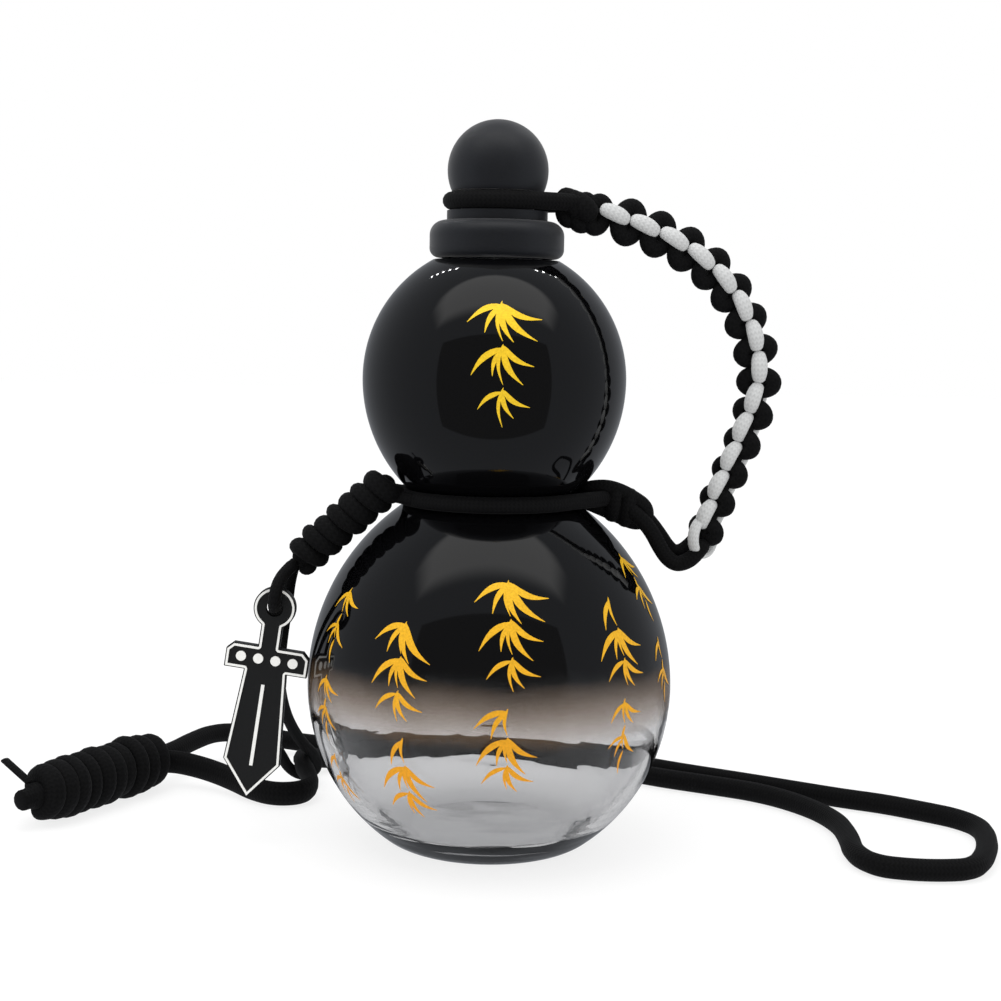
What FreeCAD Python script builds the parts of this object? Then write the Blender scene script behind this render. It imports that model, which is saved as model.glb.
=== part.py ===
import FreeCAD, Part
import math
import os
from FreeCAD import Vector

# Gourd-shaped glass water bottle with a screw cap, a braided cap tether, a charm and a carry strap.
# Millimetres. The origin is on the bottle's axis at the plane it stands on, +Z up, -Y towards the viewer.

# Glass bottle
overall_height = 220.0
base_radius = 28.63
lower_bulb_radius = 55.6
lower_bulb_arc_below = 58.0
lower_bulb_arc_above = 68.0
upper_bulb_radius = 39.7
upper_bulb_arc_below = 46.5
upper_bulb_arc_above = 41.0
waist_fillet = 2.5
glass_wall = 3.0
glass_base = 4.5
base_edge_round = 14.0
base_bowl_radius = 200.0
base_floor_round = 14.0
neck_radius = 14.4
neck_bore_radius = 11.2
neck_height = 7.4
neck_lip_round = 0.8
shoulder_ledge_radius = 18.6

# Cap
cap_seat_gap = 0.45
cap_skirt_radius = 20.2
cap_skirt_height = 11.1
cap_skirt_top_round = 4.4
cap_skirt_bottom_round = 2.8
cap_collar_radius = 15.1
cap_collar_height = 2.9
cap_ball_radius = 15.1
cap_ball_rise = 6.2
cap_bore_clearance = 0.1
cap_roof_above_neck = 2.4
liner_wall = 1.7
liner_roof = 1.0
liner_recess = 0.6
liner_thread_clearance = 0.5
seal_thickness = 1.2
seal_lip_gap = 0.2
seal_hole_radius = 7.0
seal_edge_clearance = 0.3

# Cords
cord_clearance = 0.3
loop_cord = 5.2
loop_inset = 1.2
loop_aim_x = 30.0
loop_end_x = 20.0
waist_cord_diameter = 4.5
waist_cord_end_reach = 5.85
waist_cord_aim_reach = 8.85
tail_cord = 4.2
tail_half_spacing = 2.3
link_cord = 3.6
strap_cord = 6.6

# Braided tether
braid_pitch = 9.55
braid_core_diameter = 4.0
braid_half_width = 6.4
braid_knot_half_length = 4.2
braid_knot_inner_edge = 2.6
braid_knot_thickness = 7.6
braid_knot_chamfer = 1.6
braid_stitch_half_length = 4.2
braid_stitch_half_width = 2.3
braid_stitch_thickness = 2.3
braid_stitch_chamfer = 0.9
braid_first_stitch = 8.8
braid_head_length = 8.2
braid_head_radius = 6.2
braid_head_end_radius = 4.4
end_wrap_length = 4.6
end_wrap_radius = 5.6
end_wrap_round = 1.6
hitch_length = 12.2
hitch_end_radius = 4.2
hitch_middle_radius = 5.6
hitch_beyond_cord = 1.7
hitch_above_waist = 0.63

# Barrel knots
charm_knot_cord = 4.4
charm_knot_radius = 3.6
charm_knot_pitch = 5.1
charm_knot_beyond_cord = 6.85
charm_knot_above_waist = 1.88
charm_knot_beside_bulb = 1.1
charm_knot_front = 8.0
charm_knot_end_z = 88.7
strap_knot_cord = 5.6
strap_knot_radius = 6.4
strap_knot_pitch = 6.15
strap_knot_quarters = 37
strap_knot_lift = 9.9
strap_stub_length = 11.0
strap_stub_round = 1.8
strap_tail_length = 8.0
strap_tail_width = 3.6
strap_tail_tip_width = 2.2
strap_tail_lift = 1.0
strap_tail_thickness = 1.4

# Charm
charm_thickness = 2.6
charm_beside_bulb = 8.6
charm_front = 14.0
charm_pivot_z = 74.4
charm_ring_radius = 6.3
charm_hole_radius = 2.6
charm_neck_width = 6.4
charm_neck_drop = 12.0
charm_guard_width = 25.0
charm_guard_height = 7.6
charm_guard_chamfer = 2.0
charm_blade_top_width = 12.8
charm_blade_end_width = 17.2
charm_blade_drop = 47.5
charm_tip_drop = 58.5
charm_tilt = 8.3
charm_line_inset = 0.35
charm_line_width = 0.65
charm_line_height = 0.4
charm_fuller_width = 1.0
charm_fuller_start = 24.0
charm_fuller_end = 49.0
charm_stud_radius = 1.5
charm_stud_spacing = 5.2
charm_stud_count = 4

up = Vector(0.0, 0.0, 1.0)
back = Vector(0.0, 1.0, 0.0)


def flat(radius, z):
    """A point of a turned profile."""
    return Vector(radius, 0.0, z)


def circles_meet(centre_a, radius_a, centre_b, radius_b):
    """Where two circles in the XZ plane cross, on the side of larger X."""
    apart = centre_b - centre_a
    distance = apart.Length
    along = (distance ** 2 + radius_a ** 2 - radius_b ** 2) / (2 * distance)
    aside = math.sqrt(radius_a ** 2 - along ** 2)
    direction = apart * (1 / distance)
    normal = Vector(direction.z, 0.0, -direction.x)
    foot = centre_a + direction * along
    return max(foot + normal * aside, foot - normal * aside, key=lambda point: point.x)


def circle_radius_at(centre, radius, z):
    """Distance from the Z axis of a bulb's arc at a height."""
    return centre.x + math.sqrt(radius ** 2 - (z - centre.z) ** 2)


def circle_height_at(centre, radius, distance):
    """Height of a bulb's upper arc at a distance from the Z axis."""
    return centre.z + math.sqrt(radius ** 2 - (distance - centre.x) ** 2)


# Heights of the cap, counted down from the top
groove_height = loop_cord + 2 * cord_clearance
ball_z = overall_height - cap_ball_radius
groove_top = ball_z - cap_ball_rise
groove_bottom = groove_top - groove_height
groove_middle = groove_bottom + groove_height / 2
skirt_top = groove_bottom - cap_collar_height
skirt_bottom = skirt_top - cap_skirt_height
ledge_z = skirt_bottom - cap_seat_gap
neck_top = ledge_z + neck_height
roof_z = neck_top + cap_roof_above_neck
loop_radius = cap_collar_radius - loop_inset
groove_radius = loop_radius - loop_cord / 2 - cord_clearance
liner_outer = neck_radius + liner_thread_clearance + liner_wall
cap_bore = liner_outer + cap_bore_clearance

# Centres of the four arcs that make the two bulbs
lower_bulb_z = math.sqrt(lower_bulb_arc_below ** 2 - (base_radius - lower_bulb_radius + lower_bulb_arc_below) ** 2)
upper_bulb_z = ledge_z - math.sqrt(
    upper_bulb_arc_above ** 2 - (shoulder_ledge_radius - upper_bulb_radius + upper_bulb_arc_above) ** 2)
low_centre = flat(lower_bulb_radius - lower_bulb_arc_below, lower_bulb_z)
high_centre = flat(lower_bulb_radius - lower_bulb_arc_above, lower_bulb_z)
under_centre = flat(upper_bulb_radius - upper_bulb_arc_below, upper_bulb_z)
over_centre = flat(upper_bulb_radius - upper_bulb_arc_above, upper_bulb_z)


def waist_rounds():
    """Centres of the rounds between the bulbs: one that both share, or one at each end of a throat as wide as the neck."""
    low_reach = lower_bulb_arc_above + waist_fillet
    high_reach = upper_bulb_arc_below + waist_fillet
    if (under_centre - high_centre).Length < low_reach + high_reach:
        shared = circles_meet(high_centre, low_reach, under_centre, high_reach)
        if shared.x - waist_fillet > neck_radius:
            return shared, shared
    distance = neck_radius + waist_fillet
    drop = math.sqrt(high_reach ** 2 - (distance - under_centre.x) ** 2)
    return flat(distance, circle_height_at(high_centre, low_reach, distance)), flat(distance, under_centre.z - drop)


waist_low, waist_high = waist_rounds()
waist_z = (waist_low.z + waist_high.z) / 2
waist_radius = waist_low.x - waist_fillet
waist_cord_radius = waist_radius + waist_cord_diameter / 2 + cord_clearance
waist_cord_end_x = waist_cord_radius + waist_cord_end_reach
waist_cord_aim_x = waist_cord_radius + waist_cord_aim_reach
tether_rise = groove_middle - waist_z

# Routes of the cords, points chosen along the photographed lines
# The braid's heights are shares of the rise from the waist to the groove, and the tails hang from the waist
braid_shares = [
    (26.5, 0.9864), (43.1, 0.9288), (57.8, 0.8463), (69.3, 0.7220), (76.6, 0.5615), (79.6, 0.3807),
    (75.6, 0.1885), (69.4, 0.0020), (63.6, -0.1675)]
braid_route = [(x, 0.0, waist_z + share * tether_rise) for x, share in braid_shares]
front_tail_drops = [(63.0, 16.0), (60.9, 19.3), (56.7, 20.1), (53.2, 17.1), (50.4, 12.1), (46.75, 6.3)]
back_tail_drops = [(61.6, 14.9), (59.9, 18.5), (55.9, 19.3), (52.6, 16.4), (50.3, 11.6), (47.6, 5.6)]
front_tail_route = [(x, -tail_half_spacing, waist_z - drop) for x, drop in front_tail_drops]
back_tail_route = [(x, tail_half_spacing, waist_z - drop) for x, drop in back_tail_drops]
strap_long_route = [
    (-64.0, 57.0, 8.6), (-64.0, 62.0, 8.6), (-62.2, 68.8, 6.2), (-56.4, 75.8, 3.7), (-46.0, 81.5, 3.35),
    (-30.0, 86.5, 3.35), (-8.0, 89.0, 3.35), (16.0, 87.0, 3.35), (38.0, 77.5, 3.35), (57.5, 64.5, 3.35),
    (75.0, 55.5, 3.35), (92.5, 45.0, 3.35), (105.0, 29.0, 3.35), (111.8, 12.5, 3.35), (112.2, -4.0, 3.35),
    (110.4, -20.0, 3.35), (114.6, -31.0, 3.35), (124.0, -34.0, 3.35), (134.0, -34.4, 3.35), (143.0, -32.4, 3.35),
    (149.4, -21.5, 3.35), (154.6, -6.5, 3.35), (156.6, 8.5, 3.35), (151.6, 18.4, 3.35), (142.5, 25.4, 3.35),
    (131.0, 33.6, 3.35), (118.7, 42.4, 3.35), (104.0, 53.2, 3.35), (86.0, 64.8, 3.35), (66.0, 74.5, 3.35),
    (44.0, 87.0, 3.35), (19.0, 96.0, 3.35), (-8.0, 98.0, 3.35), (-34.0, 96.4, 3.35), (-56.0, 95.6, 3.35),
    (-74.0, 96.5, 4.8), (-88.0, 92.5, 8.6), (-98.5, 82.0, 11.2), (-105.0, 69.0, 10.7), (-109.5, 57.6, 9.9),
    (-116.0, 46.3, 9.9)]
strap_short_route = [
    (-64.0, 56.5, 8.6), (-64.0, 51.5, 8.6), (-62.2, 44.6, 6.2), (-61.4, 37.0, 3.7), (-65.0, 30.4, 3.35),
    (-72.0, 28.4, 3.35), (-79.5, 32.2, 3.35), (-88.0, 37.9, 3.35), (-96.0, 42.2, 3.35)]
link_offsets = [
    (-4.0, -6.2, 86.0), (-5.4, -5.2, 81.6), (-6.2, -2.6, 73.0), (-6.4, 3.5, 61.5), (-6.2, 15.0, 46.0),
    (-5.2, 30.0, 31.0), (-3.8, 44.0, 18.5), (-2.3, 54.5, 10.5), (-3.4, 58.7, 4.7), (-8.4, 59.0, 1.95),
    (-13.4, 58.7, 4.7), (-14.5, 54.5, 10.5), (-14.0, 44.0, 18.5), (-13.4, 30.0, 31.0), (-12.4, 15.0, 45.5),
    (-11.0, 2.5, 58.5), (-9.6, -4.6, 67.4), (-8.8, -9.0, 74.2), (-8.6, -14.0, 74.4), (-8.5, -18.6, 74.7),
    (-8.0, -20.6, 78.2), (-7.4, -18.6, 81.8), (-6.4, -14.4, 84.0), (-4.3, -10.6, 86.0)]
link_route = [(x - lower_bulb_radius, y, z) for x, y, z in link_offsets]

# Places of the knots and of the charm
hitch_start = Vector(waist_cord_end_x + hitch_beyond_cord, 0.0, waist_z + hitch_above_waist)
hitch_axis = Vector(0.93, 0.0, -0.36).normalize()
charm_knot_start = Vector(-waist_cord_radius - charm_knot_beyond_cord, -charm_knot_front,
                          waist_z + charm_knot_above_waist)
charm_knot_end = Vector(-lower_bulb_radius - charm_knot_beside_bulb, -charm_knot_front, charm_knot_end_z)
strap_knot_start = Vector(-113.0, 51.5, strap_knot_lift)
strap_knot_axis = Vector(-0.4985, -0.8669, 0.0).normalize()
strap_tail_direction = Vector(-0.78, 0.40, 0.48).normalize()
charm_pivot = Vector(-lower_bulb_radius - charm_beside_bulb, -charm_front, charm_pivot_z)


def export(name, solids):
    """Write one solid, or a group of separate solids, as parts/NAME.step."""
    shape = solids[0] if len(solids) == 1 else Part.makeCompound(solids)
    for solid in solids:
        if solid.ShapeType != "Solid" or not solid.isValid():
            raise ValueError(name + " is not a valid solid")
    shape.exportStep("parts/" + name + ".step")
    print("%-20s solids %2d volume %9.1f" % (name, len(solids), sum(s.Volume for s in solids)))


def only_solid(shape):
    """The single solid of a shape, turned the right way out."""
    solid = shape.Solids[0] if shape.Solids else Part.makeSolid(shape)
    if solid.Volume < 0:
        solid.reverse()
    return solid


def revolved(edges):
    """Turn a closed profile in the XZ plane about the Z axis."""
    face = Part.Face(Part.Wire(edges))
    return only_solid(face.revolve(Vector(0, 0, 0), up, 360))


def line(first, second):
    return Part.LineSegment(first, second).toShape()


def arc_about(centre, radius, first, second):
    """The shorter arc of a circle in the XZ plane between two points on it."""
    middle = (first - centre) + (second - centre)
    middle.normalize()
    return Part.Arc(first, centre + middle * radius, second).toShape()


def bulb_wall(inset):
    """Edges of the bulb walls from the lower equator to the shoulder, set in by an inset."""
    lower = lower_bulb_arc_above - inset
    upper = upper_bulb_arc_below - inset
    waist_arc = waist_fillet + inset
    round_low = waist_low + (high_centre - waist_low).normalize() * waist_arc
    round_high = waist_high + (under_centre - waist_high).normalize() * waist_arc
    throat_low = waist_low - flat(waist_arc, 0.0)
    throat_high = waist_high - flat(waist_arc, 0.0)
    lower_equator = flat(lower_bulb_radius - inset, lower_bulb_z)
    upper_equator = flat(upper_bulb_radius - inset, upper_bulb_z)
    edges = [arc_about(high_centre, lower, lower_equator, round_low),
             arc_about(waist_low, waist_arc, round_low, throat_low)]
    if throat_high.z > throat_low.z:
        edges.append(line(throat_low, throat_high))
    edges += [arc_about(waist_high, waist_arc, throat_high, round_high),
              arc_about(under_centre, upper, round_high, upper_equator)]
    return lower_equator, upper_equator, edges


def glass_bottle():
    """Hollow two-bulb glass body with a shallow bowl for its floor, a ledge under the cap and a straight neck."""
    outer_low, outer_high, outer_wall = bulb_wall(0.0)
    inner_low, inner_high, inner_wall = bulb_wall(glass_wall)
    foot_centre = flat(circle_radius_at(low_centre, lower_bulb_arc_below - base_edge_round, base_edge_round),
                       base_edge_round)
    foot_side = low_centre + (foot_centre - low_centre).normalize() * lower_bulb_arc_below
    foot_flat = flat(foot_centre.x, 0.0)
    ledge = flat(shoulder_ledge_radius, ledge_z)
    neck_root = flat(neck_radius, ledge_z)
    inner_arc = lower_bulb_arc_below - glass_wall
    bowl_centre = flat(0.0, glass_base + base_bowl_radius)
    floor_centre = circles_meet(low_centre, inner_arc - base_floor_round,
                                bowl_centre, base_bowl_radius - base_floor_round)
    floor_side = low_centre + (floor_centre - low_centre).normalize() * inner_arc
    floor_edge = bowl_centre + (floor_centre - bowl_centre).normalize() * base_bowl_radius
    bore_low = flat(neck_bore_radius,
                    circle_height_at(over_centre, upper_bulb_arc_above - glass_wall, neck_bore_radius))
    lip_side = flat(neck_radius, neck_top - neck_lip_round)
    lip_top = flat(neck_radius - neck_lip_round, neck_top)
    edges = [line(flat(0.0, 0.0), foot_flat),
             arc_about(foot_centre, base_edge_round, foot_flat, foot_side),
             arc_about(low_centre, lower_bulb_arc_below, foot_side, outer_low)]
    edges += outer_wall
    edges += [arc_about(over_centre, upper_bulb_arc_above, outer_high, ledge),
              line(ledge, neck_root),
              line(neck_root, lip_side),
              arc_about(flat(lip_top.x, lip_side.z), neck_lip_round, lip_side, lip_top),
              line(lip_top, flat(neck_bore_radius, neck_top)),
              line(flat(neck_bore_radius, neck_top), bore_low),
              arc_about(over_centre, upper_bulb_arc_above - glass_wall, bore_low, inner_high)]
    edges += inner_wall[::-1]
    edges += [arc_about(low_centre, inner_arc, inner_low, floor_side),
              arc_about(floor_centre, base_floor_round, floor_side, floor_edge),
              arc_about(bowl_centre, base_bowl_radius, floor_edge, flat(0.0, glass_base)),
              line(flat(0.0, glass_base), flat(0.0, 0.0))]
    return revolved(Part.__sortEdges__(edges))


def cap_shell():
    """Cap with a ball finial, the groove for the cord loop, a collar and a rounded skirt."""
    ball_centre = flat(0.0, ball_z)
    ball_edge = flat(math.sqrt(cap_ball_radius ** 2 - (ball_z - groove_top) ** 2), groove_top)
    ball_top = flat(0.0, overall_height)
    top_round = flat(cap_skirt_radius - cap_skirt_top_round, skirt_top - cap_skirt_top_round)
    low_round = flat(cap_skirt_radius - cap_skirt_bottom_round, skirt_bottom + cap_skirt_bottom_round)
    points = {
        "skirt_inner": flat(cap_bore, skirt_bottom),
        "skirt_foot": flat(low_round.x, skirt_bottom),
        "side_low": flat(cap_skirt_radius, low_round.z),
        "side_high": flat(cap_skirt_radius, top_round.z),
        "skirt_shoulder": flat(top_round.x, skirt_top),
        "collar_low": flat(cap_collar_radius, skirt_top),
        "collar_high": flat(cap_collar_radius, groove_bottom),
        "groove_low": flat(groove_radius, groove_bottom),
        "groove_high": flat(groove_radius, groove_top),
        "roof_axis": flat(0.0, roof_z),
        "roof_edge": flat(cap_bore, roof_z)}
    edges = [line(points["skirt_inner"], points["skirt_foot"]),
             arc_about(low_round, cap_skirt_bottom_round, points["skirt_foot"], points["side_low"]),
             line(points["side_low"], points["side_high"]),
             arc_about(top_round, cap_skirt_top_round, points["side_high"], points["skirt_shoulder"]),
             line(points["skirt_shoulder"], points["collar_low"]),
             line(points["collar_low"], points["collar_high"]),
             line(points["collar_high"], points["groove_low"]),
             line(points["groove_low"], points["groove_high"]),
             line(points["groove_high"], ball_edge),
             arc_about(ball_centre, cap_ball_radius, ball_edge, ball_top),
             line(ball_top, points["roof_axis"]),
             line(points["roof_axis"], points["roof_edge"]),
             line(points["roof_edge"], points["skirt_inner"])]
    return revolved(edges)


def polygon_revolved(points):
    """Turn a closed polygon of (radius, height) points about the Z axis."""
    corners = [flat(radius, z) for radius, z in points]
    return revolved([line(a, b) for a, b in zip(corners, corners[1:] + corners[:1])])


def cap_liner():
    """Screw insert of the cap: a ring wall under a thin roof with a centre hole."""
    inner = neck_radius + liner_thread_clearance
    foot = skirt_bottom + liner_recess
    ceiling = roof_z - liner_roof
    return polygon_revolved([(inner, foot), (liner_outer, foot), (liner_outer, roof_z), (seal_hole_radius, roof_z),
                             (seal_hole_radius, ceiling), (inner, ceiling)])


def seal_ring():
    """Soft washer that the liner presses on the lip of the neck."""
    low = neck_top + seal_lip_gap
    outer = neck_radius + liner_thread_clearance - seal_edge_clearance
    high = low + seal_thickness
    return polygon_revolved([(seal_hole_radius, low), (outer, low), (outer, high), (seal_hole_radius, high)])


def tube(path_edges, diameter, start, direction):
    """Sweep a round cord along a smooth path and compare its volume with section times length."""
    path = Part.Wire(path_edges)
    section = Part.Wire([Part.Circle(start, direction, diameter / 2).toShape()])
    solid = only_solid(path.makePipeShell([section], True, False))
    expected = math.pi * diameter ** 2 / 4 * path.Length
    print("  length %.1f volume ratio %.4f" % (path.Length, solid.Volume / expected))
    return solid


def route_edges(name, route, diameter):
    """Straight runs joined by tangent arcs as large as the runs allow."""
    points = [Vector(*point) for point in route]
    edges = []
    radii = []
    here = points[0]
    for before, corner, after in zip(points, points[1:], points[2:]):
        into = corner - before
        out = after - corner
        turn = into.getAngle(out)
        reach = 0.45 * min(into.Length, out.Length)
        radii.append(reach / math.tan(turn / 2))
        into.normalize()
        out.normalize()
        first = corner - into * reach
        last = corner + out * reach
        inward = (out - into).normalize()
        depth = radii[-1] * (1 / math.cos(turn / 2) - 1)
        edges.append(line(here, first))
        edges.append(Part.Arc(first, corner + inward * depth, last).toShape())
        here = last
    edges.append(line(here, points[-1]))
    print("%s: smallest radii in diameters %s" % (name, ["%.1f" % (r / diameter) for r in sorted(radii)[:5]]))
    return edges


def cord(name, route, diameter):
    """A free cord laid along a route."""
    start = Vector(*route[0])
    direction = Vector(*route[1]) - start
    return tube(route_edges(name, route, diameter), diameter, start, direction)


def looped_cord(z, radius, diameter, aim_x, end_x):
    """A cord round the axis whose two ends leave at tangents towards a point on +X and stop short of it."""
    spread = math.acos(radius / aim_x)
    touch = Vector(radius * math.cos(spread), radius * math.sin(spread), z)
    aim = Vector(aim_x, 0.0, z)
    end = touch + (aim - touch) * ((end_x - touch.x) / (aim_x - touch.x))
    far_touch = Vector(touch.x, -touch.y, z)
    far_end = Vector(end.x, -end.y, z)
    edges = [line(end, touch),
             Part.Arc(touch, Vector(-radius, 0.0, z), far_touch).toShape(),
             line(far_touch, far_end)]
    return tube(edges, diameter, end, touch - end)


def arc_from_tangent(start, tangent, end):
    """The arc that leaves a point along a tangent and ends at another point."""
    chord = end - start
    normal = chord - tangent * chord.dot(tangent)
    normal.normalize()
    radius = chord.Length ** 2 / (2 * chord.dot(normal))
    centre = start + normal * radius
    middle = (start - centre) + (end - centre)
    middle.normalize()
    return Part.Arc(start, centre + middle * radius, end).toShape()


def biarc(start, start_tangent, end, end_tangent):
    """Two arcs that join two points and agree with the tangents at both."""
    chord = end - start
    both = start_tangent + end_tangent
    bend = 2 * (1 - start_tangent.dot(end_tangent))
    reach = (-chord.dot(both) + math.sqrt(chord.dot(both) ** 2 + bend * chord.Length ** 2)) / bend
    joint = (start + end + (start_tangent - end_tangent) * reach) * 0.5
    second = arc_from_tangent(end, end_tangent * -1, joint)
    return [arc_from_tangent(start, start_tangent, joint), second]


def winding(name, start, axis, side, hand, radius, pitch, quarters, diameter):
    """One unbroken helical tube with straight ends, and its least gap to itself printed."""
    other = axis.cross(side) * hand
    rise = pitch / (2 * math.pi)

    def point(angle):
        return start + axis * (rise * angle) + (side * math.cos(angle) + other * math.sin(angle)) * radius

    def tangent(angle):
        return (axis * rise + (other * math.cos(angle) - side * math.sin(angle)) * radius).normalize()

    first_angle = math.pi / 2
    angles = [first_angle + math.pi / 2 * i for i in range(quarters + 1)]
    lead = point(angles[0]) - tangent(angles[0]) * diameter
    tail = point(angles[-1]) + tangent(angles[-1]) * diameter
    edges = [line(lead, point(angles[0]))]
    for a, b in zip(angles, angles[1:]):
        edges += biarc(point(a), tangent(a), point(b), tangent(b))
    edges.append(line(point(angles[-1]), tail))
    steps = 48
    samples = [point(first_angle + 2 * math.pi * i / steps) for i in range(quarters * steps // 4 + 1)]
    ends = [(lead, 0), (tail, len(samples) - 1)]
    near = min((samples[i] - samples[j]).Length
               for i in range(len(samples)) for j in range(i + steps // 2, len(samples)))
    near_ends = min((end - sample).Length for end, place in ends
                    for index, sample in enumerate(samples) if abs(index - place) > steps // 2)
    print("%s: least gap to itself %.2f" % (name, min(near, near_ends) - diameter))
    return tube(edges, diameter, lead, tangent(angles[0])), lead, tangent(angles[0]), tail


def round_loft(sections):
    """A closed solid through round sections, each given as centre, axis and radius."""
    wires = [Part.Wire([Part.Circle(centre, axis, radius).toShape()]) for centre, axis, radius in sections]
    return only_solid(Part.makeLoft(wires, True, False))


def lump(start, axis, length, end_radius, middle_radius):
    """A knot body that swells between its two ends."""
    shares = [(0.0, end_radius), (0.25, middle_radius), (0.6, middle_radius), (1.0, end_radius)]
    return round_loft([(start + axis * (length * share), axis, radius) for share, radius in shares])


def path_stations(edges, first, step, count):
    """Points and directions at equal steps along a path."""
    wire = Part.Wire(edges)
    stations = []
    for i in range(count):
        distance = first + step * i
        for edge in wire.OrderedEdges:
            if distance <= edge.Length:
                parameter = edge.getParameterByLength(distance)
                stations.append((edge.valueAt(parameter), edge.tangentAt(parameter)))
                break
            distance -= edge.Length
    return stations


def across(direction):
    """Unit vector in the braid's plane, square to its direction, to the outer side."""
    return direction.cross(back).normalize()


def braid_knot(place, direction, side):
    """One side knot: a D-shaped pillow beside the core with chamfered rims."""
    outward = across(direction) * side
    bulge = braid_half_width - braid_knot_inner_edge
    half = braid_knot_half_length
    front = back * (-braid_knot_thickness / 2)
    first = place + outward * braid_knot_inner_edge - direction * half + front
    crown = place + outward * (braid_knot_inner_edge + bulge) + front
    last = place + outward * braid_knot_inner_edge + direction * half + front
    rim = Part.Arc(first, crown, last).toShape()
    face = Part.Face(Part.Wire([rim, line(last, first)]))
    solid = face.extrude(back * braid_knot_thickness)
    rims = [edge for edge in solid.Edges if edge.Curve.TypeId == "Part::GeomCircle"]
    return only_solid(solid.makeChamfer(braid_knot_chamfer, rims))


def braid_stitch(place, direction, facing):
    """One white stitch: an oval pad that lies over the core, on the front or on the back."""
    low = braid_core_diameter / 2 + cord_clearance
    inner = place + back * (facing * low)
    oval = Part.Ellipse(Vector(0, 0, 0), braid_stitch_half_length, braid_stitch_half_width).toShape()
    frame = FreeCAD.Rotation(direction, across(direction), back * facing, "XYZ")
    oval.Placement = FreeCAD.Placement(inner, frame)
    solid = Part.Face(Part.Wire([oval])).extrude(back * (facing * braid_stitch_thickness))
    far = inner + back * (facing * braid_stitch_thickness)
    rims = [edge for edge in solid.Edges if edge.Closed and abs(edge.CenterOfMass.y - far.y) < 0.01]
    return only_solid(solid.makeChamfer(braid_stitch_chamfer, rims))


def end_wrap(start, axis):
    """White wrap round the end of the core, as a thick ring with rounded rims."""
    inner = braid_core_diameter / 2 + cord_clearance
    outer = Part.makeCylinder(end_wrap_radius, end_wrap_length, start, axis)
    rims = [edge for edge in outer.Edges if edge.Closed]
    rounded = outer.makeFillet(end_wrap_round, rims)
    return only_solid(rounded.cut(Part.makeCylinder(inner, end_wrap_length, start, axis)))


def charm_place():
    """Turns charm coordinates (across, drop below the pivot) into the part's frame at its resting tilt."""
    return FreeCAD.Placement(charm_pivot, FreeCAD.Rotation(back, charm_tilt))


def charm_outline():
    """Closed outline of the charm, front view, with the ring's centre a little below the cord it hangs on."""
    ring_drop = charm_hole_radius - link_cord / 2 - cord_clearance
    ring = Vector(0.0, 0.0, -ring_drop)
    neck_half = charm_neck_width / 2
    ring_foot = -ring_drop - math.sqrt(charm_ring_radius ** 2 - neck_half ** 2)
    guard_top = -ring_drop - charm_neck_drop
    guard_low = guard_top - charm_guard_height
    guard_half = charm_guard_width / 2
    blade_end = -ring_drop - charm_blade_drop
    tip = -ring_drop - charm_tip_drop
    right = [(neck_half, ring_foot), (neck_half, guard_top),
             (guard_half - charm_guard_chamfer, guard_top), (guard_half, guard_top - charm_guard_chamfer),
             (guard_half, guard_low), (charm_blade_top_width / 2, guard_low),
             (charm_blade_end_width / 2, blade_end), (0.0, tip)]
    left = [(-x, z) for x, z in right[-2::-1]]
    corners = [Vector(x, 0.0, z) for x, z in right + left]
    edges = [line(a, b) for a, b in zip(corners, corners[1:])]
    edges.append(Part.Arc(corners[-1], ring + Vector(0.0, 0.0, charm_ring_radius), corners[0]).toShape())
    hole = Part.Circle(ring, back, charm_hole_radius).toShape()
    return Part.Wire(edges), Part.Wire([hole])


def charm_pieces():
    """Plate, raised outline and raised decoration of the charm."""
    outline, hole = charm_outline()
    half = charm_thickness / 2
    solid = Part.Face(outline).extrude(back * charm_thickness)
    drill = Part.Face(hole).extrude(back * charm_thickness)
    plate = only_solid(solid.cut(drill))
    plate.translate(back * -half)
    outer = outline.makeOffset2D(-charm_line_inset)
    inner = outline.makeOffset2D(-charm_line_inset - charm_line_width)
    band = only_solid(Part.Face(outer).extrude(back * charm_line_height).cut(
        Part.Face(inner).extrude(back * charm_line_height)))
    front = band.translated(back * (-half - charm_line_height))
    rear = band.translated(back * half)
    motif = charm_motif(half)
    place = charm_place()
    for shape in [plate, front, rear] + motif:
        shape.Placement = place.multiply(shape.Placement)
    return plate, [front, rear], motif


def charm_motif(half):
    """Plain decoration: a fuller line down the blade and a row of studs along the guard."""
    low = -half - charm_line_height
    fuller = Part.makeBox(charm_fuller_width, charm_line_height, charm_fuller_end - charm_fuller_start,
                          Vector(-charm_fuller_width / 2, low, -charm_fuller_end))
    ring_drop = charm_hole_radius - link_cord / 2 - cord_clearance
    stud_z = -ring_drop - charm_neck_drop - charm_guard_height / 2
    row = charm_stud_spacing * (charm_stud_count - 1)
    studs = []
    for i in range(charm_stud_count):
        centre = Vector(charm_stud_spacing * i - row / 2, low, stud_z)
        studs.append(Part.makeCylinder(charm_stud_radius, charm_line_height, centre, back))
    return [fuller] + studs


def strap_stub():
    """Round cord end that leaves the far end of the strap knot."""
    length = strap_knot_pitch * strap_knot_quarters / 4
    start = strap_knot_start + strap_knot_axis * (length - strap_stub_length / 3)
    body = Part.makeCylinder(strap_cord / 2, strap_stub_length, start, strap_knot_axis)
    tip = [edge for edge in body.Edges if edge.Closed
           and (edge.CenterOfMass - start).Length > strap_stub_length / 2]
    return only_solid(body.makeFillet(strap_stub_round, tip))


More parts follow.
